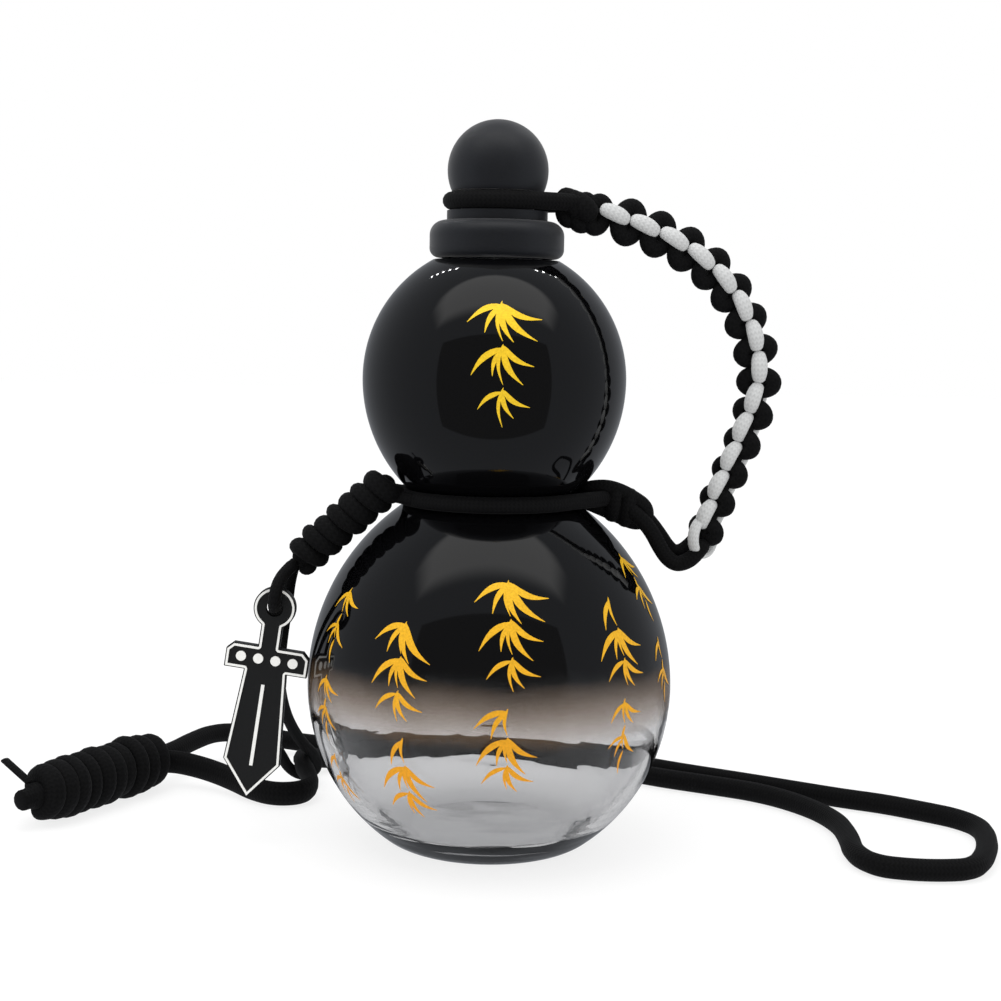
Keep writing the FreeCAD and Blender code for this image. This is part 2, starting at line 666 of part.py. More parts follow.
def strap_tail(start, direction):
    """Thin flat melted cord end that tapers away from the end of the winding."""
    side = direction.cross(up).normalize()
    wires = []
    for share, width in [(0.0, strap_tail_width), (1.0, strap_tail_tip_width)]:
        centre = start + up * strap_tail_lift + direction * (strap_tail_length * share)
        half = side * (width / 2)
        rise = direction.cross(side).normalize() * (strap_tail_thickness / 2)
        corners = [centre + half + rise, centre - half + rise, centre - half - rise, centre + half - rise]
        wires.append(Part.Wire([line(a, b) for a, b in zip(corners, corners[1:] + corners[:1])]))
    return only_solid(Part.makeLoft(wires, True, True))


def build():
    os.makedirs("parts", exist_ok=True)
    export("glass_bottle", [glass_bottle()])
    export("cap_shell", [cap_shell()])
    export("cap_liner", [cap_liner()])
    export("seal_ring", [seal_ring()])
    export("cap_loop", [looped_cord(groove_middle, loop_radius, loop_cord, loop_aim_x, loop_end_x)])

    core_edges = route_edges("braid_core", braid_route, braid_core_diameter)
    core_start = Vector(*braid_route[0])
    core_direction = (Vector(*braid_route[1]) - core_start).normalize()
    head_start = core_start - core_direction * (braid_head_length - braid_first_stitch / 2)
    export("braid_core", [tube(core_edges, braid_core_diameter, core_start, core_direction)])
    free_length = sum(edge.Length for edge in core_edges) - braid_first_stitch - end_wrap_length
    stitches = int((free_length - braid_knot_half_length) / braid_pitch) + 1
    stations = path_stations(core_edges, braid_first_stitch, braid_pitch, stitches)
    export("braid_knots_outer", [braid_knot(place, direction, 1.0) for place, direction in stations])
    export("braid_knots_inner", [braid_knot(place, direction, -1.0) for place, direction in stations])
    export("braid_stitch_front", [braid_stitch(place, direction, -1.0) for place, direction in stations])
    export("braid_stitch_back", [braid_stitch(place, direction, 1.0) for place, direction in stations])
    head = lump(head_start, core_direction, braid_head_length, braid_head_end_radius, braid_head_radius)
    drill = Part.makeCylinder(braid_core_diameter / 2 + cord_clearance, braid_head_length, core_start, core_direction)
    export("braid_head", [only_solid(head.cut(drill))])
    core_end = Vector(*braid_route[-1])
    end_direction = (core_end - Vector(*braid_route[-2])).normalize()
    export("braid_end_wrap", [end_wrap(core_end - end_direction * end_wrap_length, end_direction)])
    for name, route in [("tether_tail_front", front_tail_route), ("tether_tail_back", back_tail_route)]:
        export(name, [cord(name, route, tail_cord)])
    export("tether_hitch", [lump(hitch_start, hitch_axis, hitch_length, hitch_end_radius, hitch_middle_radius)])
    export("waist_cord", [looped_cord(waist_z, waist_cord_radius, waist_cord_diameter,
                                      waist_cord_aim_x, waist_cord_end_x)])

    knot_line = charm_knot_end - charm_knot_start
    quarters = round(4 * knot_line.Length / charm_knot_pitch)
    knot = winding("charm_knot", charm_knot_start, knot_line.normalize(), back, 1.0, charm_knot_radius,
                   charm_knot_pitch, quarters, charm_knot_cord)[0]
    export("charm_knot", [knot])
    export("charm_link", [cord("charm_link", link_route, link_cord)])
    plate, border, motif = charm_pieces()
    export("charm_plate", [plate])
    export("charm_border", border)
    export("charm_motif", motif)

    side = up.cross(strap_knot_axis)
    knot, lead, direction, tail = winding("strap_knot", strap_knot_start, strap_knot_axis, side, -1.0,
                                          strap_knot_radius, strap_knot_pitch, strap_knot_quarters, strap_knot_cord)
    export("strap_knot", [knot])
    short_end = [tuple(lead - direction * reach) for reach in (strap_cord, cord_clearance)]
    print("strap_short ends at", short_end)
    export("strap_short", [cord("strap_short", strap_short_route + short_end, strap_cord)])
    export("strap_long", [cord("strap_long", strap_long_route, strap_cord)])
    export("strap_stub", [strap_stub()])
    export("strap_tail", [strap_tail(tail, strap_tail_direction)])


build()
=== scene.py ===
"""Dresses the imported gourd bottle: lacquered glass, soft-touch cap, braided tether, charm and strap."""

import math

import bpy
from bpy.props import FloatProperty, FloatVectorProperty, IntProperty, PointerProperty
from mathutils import Matrix, Vector


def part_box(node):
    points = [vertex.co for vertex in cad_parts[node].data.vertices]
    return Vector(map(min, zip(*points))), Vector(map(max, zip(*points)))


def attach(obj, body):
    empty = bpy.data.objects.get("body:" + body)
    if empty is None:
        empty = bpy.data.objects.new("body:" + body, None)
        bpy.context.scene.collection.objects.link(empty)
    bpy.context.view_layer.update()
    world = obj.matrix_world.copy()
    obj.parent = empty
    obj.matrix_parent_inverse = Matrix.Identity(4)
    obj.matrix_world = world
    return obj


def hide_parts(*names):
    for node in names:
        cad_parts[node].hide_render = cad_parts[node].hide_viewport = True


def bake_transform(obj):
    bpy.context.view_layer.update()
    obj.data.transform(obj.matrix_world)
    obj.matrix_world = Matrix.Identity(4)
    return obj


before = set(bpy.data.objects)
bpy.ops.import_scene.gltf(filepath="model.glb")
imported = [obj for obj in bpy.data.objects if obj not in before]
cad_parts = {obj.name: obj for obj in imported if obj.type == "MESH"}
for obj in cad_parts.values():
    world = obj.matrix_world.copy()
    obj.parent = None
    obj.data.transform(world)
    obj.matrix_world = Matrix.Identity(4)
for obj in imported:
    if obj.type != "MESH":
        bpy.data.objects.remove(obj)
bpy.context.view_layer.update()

bl_info = {
    "name": "Gourd Bottle Dressing",
    "version": (1, 0, 0),
    "blender": (4, 5, 0),
    "location": "3D View > Sidebar > Gourd Bottle",
    "description": "Gives the packed gourd bottle its lacquer, print, cords and studio",
    "category": "Object",
}


def linear(hex_colour):
    """Linear colour of an sRGB hex value such as #1A1A1C."""
    shares = [int(hex_colour[i:i + 2], 16) / 255 for i in (1, 3, 5)]
    return [share / 12.92 if share <= 0.04045 else ((share + 0.055) / 1.055) ** 2.4 for share in shares]


def length(label, words, size):
    """A property for one size in metres."""
    return FloatProperty(name=label, description=words, default=size, min=0.0, precision=5, unit="LENGTH")


def colour(label, words, hex_colour):
    """A property for one colour, given as its sRGB hex value."""
    return FloatVectorProperty(name=label, description=words, default=linear(hex_colour), subtype="COLOR",
                               size=3, min=0.0, max=1.0)


# Sizes and colours that a user would change

class GourdGlassSettings(bpy.types.PropertyGroup):
    fade_top: length("Fade top", "Height above which the lacquer is solid black", 0.0648)
    fade_bottom: length("Fade bottom", "Height below which the glass is bare", 0.0416)
    lacquer_black: colour("Lacquer", "Colour of the solid lacquer", "#050506")
    lacquer_thin: colour("Thin lacquer", "Colour of the sprayed mist at the fade", "#7B6249")
    # Spray specks are near 0.1 mm and would not show, so they are drawn coarser
    speckle: length("Speckle", "Width of the spray grain in the fade", 0.0004)
    glass_tint: colour("Glass tint", "Colour of the clear glass", "#EEEEEF")


class GourdPrintSettings(bpy.types.PropertyGroup):
    gold_high: colour("Upper gold", "Gold of the upper sprigs", "#FFD21E")
    gold_low: colour("Lower gold", "Gold of the lower sprigs", "#F6A614")
    lift: length("Print lift", "Height of the print above the glass", 0.00022)


class GourdCapSettings(bpy.types.PropertyGroup):
    cap_black: colour("Cap", "Colour of the soft-touch cap", "#121419")
    liner_grey: colour("Liner", "Colour of the moulded liner", "#3A3B3D")
    seal_white: colour("Seal", "Colour of the silicone washer", "#DCDAD4")
    # The paint's grain is near 0.1 mm and would not show, so it is drawn coarser
    grain: length("Grain", "Width of the soft-touch grain", 0.0005)


class GourdCordSettings(bpy.types.PropertyGroup):
    black: colour("Black yarn", "Colour of the black polyester yarn", "#0E0E0F")
    white: colour("White yarn", "Colour of the white polyester yarn", "#C9CACA")
    yarn: length("Yarn", "Length of one woven grain along the cord", 0.0012)
    columns: IntProperty(name="Columns", description="Columns of woven grains round a cord", default=12,
                         min=4)
    strap: length("Strap", "Diameter of the carry strap's cord", 0.0066)
    link: length("Link", "Diameter of the charm's link cord", 0.0038)
    tail: length("Tail", "Diameter of the tether's tails", 0.0048)
    loop: length("Loop", "Diameter of the cord in the cap's groove", 0.0052)
    waist: length("Waist", "Diameter of the cord round the waist", 0.0049)
    braid_pitch: length("Braid pitch", "Distance from one braid stitch to the next", 0.00955)


class GourdCharmSettings(bpy.types.PropertyGroup):
    plate_black: colour("Charm", "Colour of the charm's plate", "#161718")
    line_white: colour("Line", "Colour of the charm's raised line", "#F2F2EF")


class GourdStageSettings(bpy.types.PropertyGroup):
    eye: FloatVectorProperty(name="Camera", description="Place of the camera", subtype="XYZ", unit="LENGTH",
                             size=3, default=(0.0025, -0.520, 0.16359))
    pitch: FloatProperty(name="Pitch", description="Tilt of the camera up from straight down",
                         unit="ROTATION", default=math.radians(83.66))
    roll: FloatProperty(name="Roll", description="Turn of the camera about its own axis", unit="ROTATION",
                        default=math.radians(1.05))
    lens: FloatProperty(name="Lens", description="Focal length of the camera on a 36 mm sensor, in mm",
                        default=61.66)
    floor_white: colour("Floor", "Colour of the paper floor", "#F7F7F7")


# Shapes

class Mould:
    """Gathers the rings of several tubes and sheets into one mesh."""

    def __init__(self):
        self.points = []
        self.faces = []
        self.charts = []

    def add(self, points, faces, charts):
        first = len(self.points)
        self.points += points
        self.faces += [[first + i for i in face] for face in faces]
        self.charts += charts

    def piece(self, name, material, slot):
        """The finished object, smooth, with its chart as UVs and its finish."""
        mesh = bpy.data.meshes.new(name)
        mesh.from_pydata([tuple(p) for p in self.points], [], self.faces)
        layer = mesh.uv_layers.new(name="weave")
        corners = [uv for chart in self.charts for uv in chart]
        layer.data.foreach_set("uv", [value for uv in corners for value in uv])
        mesh.polygons.foreach_set("use_smooth", [True] * len(mesh.polygons))
        mesh.materials.append(material)
        mesh.update()
        shape = bpy.data.objects.new(name, mesh)
        bpy.context.scene.collection.objects.link(shape)
        return shape


def smooth_line(route, steps=12):
    """Points of the NURBS spline that has the route as its control points."""
    curve = bpy.data.curves.new("route", "CURVE")
    curve.dimensions = "3D"
    spline = curve.splines.new("NURBS")
    spline.points.add(len(route) - 1)
    for point, place in zip(spline.points, route):
        point.co = (*place, 1.0)
    spline.order_u = 3
    spline.use_endpoint_u = True
    spline.resolution_u = steps
    holder = bpy.data.objects.new("route", curve)
    bpy.context.scene.collection.objects.link(holder)
    mesh = bpy.data.meshes.new_from_object(holder)
    points = [v.co.copy() for v in mesh.vertices]
    bpy.data.objects.remove(holder)
    bpy.data.curves.remove(curve)
    bpy.data.meshes.remove(mesh)
    return points


def line_length(points):
    """Length of a line of points."""
    return sum((b - a).length for a, b in zip(points, points[1:]))


def along(points, distance):
    """Point and direction at a distance along a line of points."""
    for a, b in zip(points, points[1:]):
        step = (b - a).length
        if distance <= step or b is points[-1]:
            return a + (b - a) * (distance / step), (b - a).normalized()
        distance -= step


def tube(mould, points, half_width, half_depth=None, side=None, swell=None, closed=False, sides=14, cap=1.0):
    """Add a tube along a line.

    half_width lies along side and half_depth across it, and swell scales both by the share of the length.
    """
    half_depth = half_depth or half_width
    count = len(points)
    across = Vector(side) if side else None
    total = line_length(points)
    rings = []
    distance = 0.0
    for i, centre in enumerate(points):
        before = points[i - 1] if i or closed else points[i]
        after = points[(i + 1) % count] if i + 1 < count or closed else points[i]
        if closed and i in (0, count - 1):
            before = points[count - 2]
            after = points[1]
        way = (after - before).normalized()
        if across is None:
            across = way.orthogonal()
        across = (across - way * across.dot(way)).normalized()
        if i:
            distance += (centre - points[i - 1]).length
        scale = swell(distance / total) if swell else 1.0
        rings.append((centre, way, across.copy(), scale, distance))
    if not closed and cap:
        rings = rounded_end(rings[0], -1.0, half_depth * cap)[::-1] + rings
        rings += rounded_end(rings[-1], 1.0, half_depth * cap)
    skin(mould, rings, half_width, half_depth, sides, closed)


def rounded_end(ring, hand, reach):
    """Rings that close a tube with a round end."""
    centre, way, across, scale, distance = ring
    ends = []
    for quarter_share in (0.25, 0.5, 0.72, 0.88, 0.97):
        angle = quarter_share * math.pi / 2
        out = reach * scale * math.sin(angle)
        shrink = math.cos(angle)
        ends.append((centre + way * (hand * out), way, across, scale * shrink, distance + hand * out))
    return ends


def grid(rows, columns, closed, chart):
    """Faces and charts of points in rows; a closed grid joins its last column to its first."""
    faces = []
    charts = []
    for i in range(rows - 1):
        for k in range(columns if closed else columns - 1):
            j = (k + 1) % columns
            faces.append([i * columns + k, i * columns + j, (i + 1) * columns + j, (i + 1) * columns + k])
            charts.append([chart(i, k), chart(i, k + 1), chart(i + 1, k + 1), chart(i + 1, k)])
    return faces, charts


def skin(mould, rings, half_width, half_depth, sides, closed):
    """Join rings into faces, with metres along and turns around as the chart."""
    points = []
    for centre, way, across, scale, distance in rings:
        up = way.cross(across)
        for k in range(sides):
            angle = 2 * math.pi * k / sides
            points.append(centre + across * (half_width * scale * math.cos(angle))
                          + up * (half_depth * scale * math.sin(angle)))

    def chart(i, k):
        return rings[i][4], k / sides

    faces, charts = grid(len(rings), sides, True, chart)
    if not closed:
        for row, order in [(0, reversed(range(sides))), (len(rings) - 1, range(sides))]:
            faces.append([row * sides + k for k in order])
            charts.append([chart(row, k) for k in range(sides)])
    mould.add(points, faces, charts)


def helix(start, axis, side, hand, radius, pitch, first, turns, per_turn=28, sway=0.0, grow=None):
    """Points of a wound cord: sway varies its radius from turn to turn, and grow scales it by share."""
    axis = Vector(axis).normalized()
    side = Vector(side).normalized()
    other = axis.cross(side) * hand
    sway_rate = 0.37
    sway_start = 1.3
    points = []
    steps = round(turns * per_turn)
    for i in range(steps + 1):
        angle = first + 2 * math.pi * i / per_turn
        swayed = 1.0 + sway * math.sin(angle * sway_rate + sway_start)
        reach = radius * swayed * (grow(i / steps) if grow else 1.0)
        points.append(Vector(start) + axis * (pitch * angle / (2 * math.pi))
                      + (side * math.cos(angle) + other * math.sin(angle)) * reach)
    return points


def eye_line(radius, aim, reach, z, steps):
    """Points of a cord once round the axis, with both ends drawn towards aim on +X and cut at reach."""
    turn = math.acos(radius / aim)
    gap = (aim - reach) / math.tan(turn)
    points = [Vector((reach, gap, z))]
    for i in range(steps + 1):
        angle = turn + (2 * math.pi - 2 * turn) * i / steps
        points.append(Vector((radius * math.cos(angle), radius * math.sin(angle), z)))
    points.append(Vector((reach, -gap, z)))
    return points


def oval(middle, first, second, steps):
    """Points of a closed ring, from its two half axes."""
    angles = [2 * math.pi * i / steps for i in range(steps + 1)]
    return [middle + first * math.cos(angle) + second * math.sin(angle) for angle in angles]


# Outline of the glass, as in the part's source

lower_radius = 0.0556
lower_z = 0.049
lower_arc_below = 0.058
lower_arc_above = 0.068
upper_radius = 0.0397
upper_z = 0.1426
upper_arc_below = 0.0465
upper_arc_above = 0.041
waist_round = 0.0025
waist_round_radius = 0.02721
waist_z = 0.10732
waist_low_z = 0.10525
waist_high_z = 0.10912
ledge_z = 0.17845
neck_radius = 0.0144


def glass_radius(z):
    """Outer radius of the glass at a height."""
    if z < lower_z:
        return lower_radius - lower_arc_below + math.sqrt(lower_arc_below ** 2 - (z - lower_z) ** 2)
    if z < waist_low_z:
        return lower_radius - lower_arc_above + math.sqrt(lower_arc_above ** 2 - (z - lower_z) ** 2)
    if z < waist_high_z:
        return waist_round_radius - math.sqrt(waist_round ** 2 - (z - waist_z) ** 2)
    if z < upper_z:
        return upper_radius - upper_arc_below + math.sqrt(upper_arc_below ** 2 - (z - upper_z) ** 2)
    return upper_radius - upper_arc_above + math.sqrt(upper_arc_above ** 2 - (z - upper_z) ** 2)


def on_glass(azimuth, z, lift):
    """Point on the glass, lifted along its normal; azimuth 0 faces the viewer and grows to the right."""
    step = 0.0002
    slope = (glass_radius(z + step) - glass_radius(z - step)) / (2 * step)
    steep = math.hypot(1.0, slope)
    radius = glass_radius(z) + lift / steep
    return Vector((radius * math.sin(azimuth), -radius * math.cos(azimuth), z - lift * slope / steep))


# Materials

def new_material(name):
    """An empty node material and its tree."""
    material = bpy.data.materials.new(name)
    material.use_nodes = True
    material.node_tree.nodes.clear()
    return material, material.node_tree


def add_node(tree, kind, sockets=None, **settings):
    """Add a node, set its options, and fill its sockets with values or links."""
    node = tree.nodes.new(kind)
    for name, value in settings.items():
        setattr(node, name, value)
    for name, value in (sockets or {}).items():
        if isinstance(value, bpy.types.NodeSocket):
            tree.links.new(value, node.inputs[name])
        else:
            node.inputs[name].default_value = value
    return node


def rgba(values):
    """A colour with full alpha."""
    return (*values, 1.0)


def soda_lime_glass(settings):
    """Blown soda-lime glass: clear and very smooth, with faint waves that bend what lies behind it."""
    material, tree = new_material("soda_lime_glass")
    wave_size = 0.03
    streak_size = 0.025
    place = add_node(tree, "ShaderNodeTexCoord")
    waves = add_node(tree, "ShaderNodeTexNoise", {
        "Vector": place.outputs["Object"], "Scale": 1 / wave_size, "Detail": 1.0})
    flat = add_node(tree, "ShaderNodeMapping", {
        "Vector": place.outputs["Object"], "Scale": (1.0, 1.0, 5.0)})
    streaks = add_node(tree, "ShaderNodeTexNoise", {
        "Vector": flat.outputs[0], "Scale": 1 / streak_size, "Detail": 1.2})
    height = add_node(tree, "ShaderNodeSeparateXYZ", {"Vector": place.outputs["Object"]})
    near_base = add_node(tree, "ShaderNodeMapRange", {
        "Value": height.outputs["Z"], "From Min": 0.008, "From Max": 0.024, "To Min": 2.2, "To Max": 0.0})
    uneven = add_node(tree, "ShaderNodeMath", {
        0: streaks.outputs[0], 1: near_base.outputs[0], 2: waves.outputs[0]}, operation="MULTIPLY_ADD")
    bump = add_node(tree, "ShaderNodeBump", {
        "Height": uneven.outputs[0], "Strength": 0.45, "Distance": 0.0008})
    surface = add_node(tree, "ShaderNodeBsdfPrincipled", {
        "Base Color": rgba(settings.glass_tint), "Roughness": 0.015, "IOR": 1.5, "Transmission Weight": 1.0,
        "Normal": bump.outputs[0]})
    depth = add_node(tree, "ShaderNodeVolumeAbsorption", {
        "Color": rgba(linear("#000000")), "Density": 36.0})
    add_node(tree, "ShaderNodeOutputMaterial", {"Surface": surface.outputs[0], "Volume": depth.outputs[0]})
    return material


def sprayed_lacquer(settings):
    """Sprayed black lacquer: deep gloss where thick, a brown-grey mist of fine specks where it fades out."""
    material, tree = new_material("sprayed_lacquer")
    drift_size = 0.02
    ragged = 0.004
    place = add_node(tree, "ShaderNodeTexCoord")
    height = add_node(tree, "ShaderNodeSeparateXYZ", {"Vector": place.outputs["Object"]})
    drift = add_node(tree, "ShaderNodeTexNoise", {
        "Vector": place.outputs["Object"], "Scale": 1 / drift_size, "Detail": 2.0})
    grain = add_node(tree, "ShaderNodeTexNoise", {
        "Vector": place.outputs["Object"], "Scale": 1 / settings.speckle, "Detail": 2.0})
    drifted = add_node(tree, "ShaderNodeMath", {
        0: drift.outputs[0], 1: ragged, 2: height.outputs["Z"]}, operation="MULTIPLY_ADD")
    speckled = add_node(tree, "ShaderNodeMath", {
        0: grain.outputs[0], 1: ragged, 2: drifted.outputs[0]}, operation="MULTIPLY_ADD")
    cover = add_node(tree, "ShaderNodeMapRange", {
        "Value": speckled.outputs[0], "From Min": settings.fade_bottom + ragged,
        "From Max": settings.fade_top + ragged})
    bare = add_node(tree, "ShaderNodeMath", {0: 1.0, 1: cover.outputs[0]}, operation="SUBTRACT")
    clear = add_node(tree, "ShaderNodeMath", {0: bare.outputs[0], 1: 2.5}, operation="POWER")
    alpha = add_node(tree, "ShaderNodeMath", {0: 1.0, 1: clear.outputs[0]}, operation="SUBTRACT")
    depth = add_node(tree, "ShaderNodeMapRange", {
        "Value": cover.outputs[0], "From Min": 0.15, "From Max": 0.8})
    tone = add_node(tree, "ShaderNodeMix", {
        0: depth.outputs[0], 6: rgba(settings.lacquer_thin), 7: rgba(settings.lacquer_black)},
        data_type="RGBA")
    gloss = add_node(tree, "ShaderNodeMapRange", {
        "Value": drift.outputs[0], "To Min": 0.03, "To Max": 0.07})
    surface = add_node(tree, "ShaderNodeBsdfPrincipled", {
        "Base Color": tone.outputs[2], "Roughness": gloss.outputs[0], "IOR": 1.5, "Alpha": alpha.outputs[0]})
    add_node(tree, "ShaderNodeOutputMaterial", {"Surface": surface.outputs[0]})
    return material


def gold_print(settings):
    """Screen-printed gold ink: satin metal flakes, yellow above and orange below, worn in small spots."""
    material, tree = new_material("gold_ink_print")
    # Flakes are near 0.05 mm and would not show, so they are drawn coarser
    flake_size = 0.0006
    place = add_node(tree, "ShaderNodeTexCoord")
    height = add_node(tree, "ShaderNodeSeparateXYZ", {"Vector": place.outputs["Object"]})
    share = add_node(tree, "ShaderNodeMapRange", {
        "Value": height.outputs["Z"], "From Min": 0.03, "From Max": 0.12})
    tone = add_node(tree, "ShaderNodeMix", {
        0: share.outputs[0], 6: rgba(settings.gold_low), 7: rgba(settings.gold_high)}, data_type="RGBA")
    flakes = add_node(tree, "ShaderNodeTexNoise", {
        "Vector": place.outputs["Object"], "Scale": 1 / flake_size, "Detail": 3.0})
    worn = add_node(tree, "ShaderNodeMapRange", {
        "Value": flakes.outputs[0], "From Min": 0.3, "From Max": 0.7, "To Min": 0.8, "To Max": 1.05})
    shaded = add_node(tree, "ShaderNodeMix", {
        0: 1.0, 6: tone.outputs[2], 7: worn.outputs[0]}, data_type="RGBA", blend_type="MULTIPLY")
    rough = add_node(tree, "ShaderNodeMapRange", {"Value": flakes.outputs[0], "To Min": 0.28, "To Max": 0.5})
    surface = add_node(tree, "ShaderNodeBsdfPrincipled", {
        "Base Color": shaded.outputs[2], "Roughness": rough.outputs[0], "Metallic": 0.15})
    add_node(tree, "ShaderNodeOutputMaterial", {"Surface": surface.outputs[0]})
    return material


def soft_touch_abs(settings):
    """ABS with a soft-touch paint: nearly matte, with a fine dusty grain, shinier where it is handled."""
    material, tree = new_material("soft_touch_abs")
    wear_size = 0.012
    place = add_node(tree, "ShaderNodeTexCoord")
    grain = add_node(tree, "ShaderNodeTexNoise", {
        "Vector": place.outputs["Object"], "Scale": 1 / settings.grain, "Detail": 3.0})
    wear = add_node(tree, "ShaderNodeTexNoise", {
        "Vector": place.outputs["Object"], "Scale": 1 / wear_size, "Detail": 3.0})
    rough = add_node(tree, "ShaderNodeMapRange", {
        "Value": wear.outputs[0], "From Min": 0.3, "From Max": 0.7, "To Min": 0.42, "To Max": 0.50})
    dust = add_node(tree, "ShaderNodeMapRange", {
        "Value": grain.outputs[0], "From Min": 0.35, "From Max": 0.75, "To Min": 0.9, "To Max": 1.25})
    tone = add_node(tree, "ShaderNodeMix", {
        0: 1.0, 6: rgba(settings.cap_black), 7: dust.outputs[0]}, data_type="RGBA", blend_type="MULTIPLY")
    bump = add_node(tree, "ShaderNodeBump", {
        "Height": grain.outputs[0], "Strength": 0.25, "Distance": 0.00008})
    surface = add_node(tree, "ShaderNodeBsdfPrincipled", {
        "Base Color": tone.outputs[2], "Roughness": rough.outputs[0], "IOR": 1.5, "Specular IOR Level": 0.5,
        "Sheen Weight": 0.2, "Sheen Roughness": 0.4, "Normal": bump.outputs[0]})
    add_node(tree, "ShaderNodeOutputMaterial", {"Surface": surface.outputs[0]})
    return material


def moulded_polypropylene(settings):
    """Moulded polypropylene: satin grey with a soft mottle from the mould."""
    material, tree = new_material("moulded_polypropylene")
    mottle_size = 0.002
    place = add_node(tree, "ShaderNodeTexCoord")
    mottle = add_node(tree, "ShaderNodeTexNoise", {
        "Vector": place.outputs["Object"], "Scale": 1 / mottle_size, "Detail": 2.0})
    rough = add_node(tree, "ShaderNodeMapRange", {"Value": mottle.outputs[0], "To Min": 0.35, "To Max": 0.5})
    bump = add_node(tree, "ShaderNodeBump", {
        "Height": mottle.outputs[0], "Strength": 0.2, "Distance": 0.0001})
    surface = add_node(tree, "ShaderNodeBsdfPrincipled", {
        "Base Color": rgba(settings.liner_grey), "Roughness": rough.outputs[0], "Normal": bump.outputs[0]})
    add_node(tree, "ShaderNodeOutputMaterial", {"Surface": surface.outputs[0]})
    return material


def silicone(settings):
    """Moulded silicone: milky, soft and half matte, with light sinking a little into it."""
    material, tree = new_material("moulded_silicone")
    mottle_size = 0.0015
    place = add_node(tree, "ShaderNodeTexCoord")
    mottle = add_node(tree, "ShaderNodeTexNoise", {
        "Vector": place.outputs["Object"], "Scale": 1 / mottle_size, "Detail": 2.0})
    rough = add_node(tree, "ShaderNodeMapRange", {"Value": mottle.outputs[0], "To Min": 0.4, "To Max": 0.55})
    surface = add_node(tree, "ShaderNodeBsdfPrincipled", {
        "Base Color": rgba(settings.seal_white), "Roughness": rough.outputs[0], "Subsurface Weight": 0.2,
        "Subsurface Scale": 0.001})
    add_node(tree, "ShaderNodeOutputMaterial", {"Surface": surface.outputs[0]})
    return material


def woven_polyester(name, tone, groove, yarn, columns, sheen):
    """Woven polyester cord: chevrons of yarn, with painted shade between the grains and a soft sheen at the
    rims.
    """
    material, tree = new_material(name)
    # Single fibres are near 0.02 mm and would not show, so they are drawn coarser
    fibre_size = 0.0005
    chart = add_node(tree, "ShaderNodeUVMap", uv_map="weave")
    part = add_node(tree, "ShaderNodeSeparateXYZ", {"Vector": chart.outputs[0]})
    column = add_node(tree, "ShaderNodeMath", {
        0: part.outputs["Y"], 1: float(columns)}, operation="MULTIPLY")
    chevron = add_node(tree, "ShaderNodeMath", {0: column.outputs[0], 1: 0.5}, operation="PINGPONG")
    grains = add_node(tree, "ShaderNodeMath", {
        0: part.outputs["X"], 1: 1 / yarn, 2: chevron.outputs[0]}, operation="MULTIPLY_ADD")
    turn = add_node(tree, "ShaderNodeMath", {0: grains.outputs[0], 1: 2 * math.pi}, operation="MULTIPLY")
    wave = add_node(tree, "ShaderNodeMath", {0: turn.outputs[0]}, operation="SINE")
    ridge = add_node(tree, "ShaderNodeMath", {
        0: chevron.outputs[0], 1: -1.2, 2: 0.3}, operation="MULTIPLY_ADD")
    weave = add_node(tree, "ShaderNodeMath", {
        0: wave.outputs[0], 1: 0.5, 2: ridge.outputs[0]}, operation="MULTIPLY_ADD")
    place = add_node(tree, "ShaderNodeTexCoord")
    fibre = add_node(tree, "ShaderNodeTexNoise", {
        "Vector": place.outputs["Object"], "Scale": 1 / fibre_size, "Detail": 2.0})
    height = add_node(tree, "ShaderNodeMath", {
        0: fibre.outputs[0], 1: 0.5, 2: weave.outputs[0]}, operation="MULTIPLY_ADD")
    share = add_node(tree, "ShaderNodeMapRange", {
        "Value": height.outputs[0], "From Min": -0.6, "From Max": 0.7})
    # Painted shade: by the weave's height, the grooves between the grains take a darker copy of the yarn
    # colour
    mix = add_node(tree, "ShaderNodeMix", {
        0: share.outputs[0], 6: rgba(groove), 7: rgba(tone)}, data_type="RGBA")
    bump = add_node(tree, "ShaderNodeBump", {
        "Height": height.outputs[0], "Strength": 0.35, "Distance": 0.00018})
    surface = add_node(tree, "ShaderNodeBsdfPrincipled", {
        "Base Color": mix.outputs[2], "Roughness": 0.75, "Specular IOR Level": 0.15, "Sheen Weight": sheen,
        "Sheen Roughness": 0.45, "Normal": bump.outputs[0]})
    add_node(tree, "ShaderNodeOutputMaterial", {"Surface": surface.outputs[0]})
    return material


def soft_pvc(name, tone):
    """Soft moulded PVC: satin with a slight skin texture, as it comes from an open mould."""
    material, tree = new_material(name)
    grain_size = 0.0008
    place = add_node(tree, "ShaderNodeTexCoord")
    grain = add_node(tree, "ShaderNodeTexNoise", {
        "Vector": place.outputs["Object"], "Scale": 1 / grain_size, "Detail": 2.0})
    rough = add_node(tree, "ShaderNodeMapRange", {"Value": grain.outputs[0], "To Min": 0.38, "To Max": 0.55})
    shade = add_node(tree, "ShaderNodeMapRange", {"Value": grain.outputs[0], "To Min": 0.9, "To Max": 1.08})
    mix = add_node(tree, "ShaderNodeMix", {
        0: 1.0, 6: rgba(tone), 7: shade.outputs[0]}, data_type="RGBA", blend_type="MULTIPLY")
    bump = add_node(tree, "ShaderNodeBump", {
        "Height": grain.outputs[0], "Strength": 0.2, "Distance": 0.0001})
    surface = add_node(tree, "ShaderNodeBsdfPrincipled", {
        "Base Color": mix.outputs[2], "Roughness": rough.outputs[0], "Normal": bump.outputs[0]})
    add_node(tree, "ShaderNodeOutputMaterial", {"Surface": surface.outputs[0]})
    return material


def paint_node(node, material):
    """Give a node of the frame its finish."""
    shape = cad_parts[node]
    for place in shape.material_slots:
        place.material = material


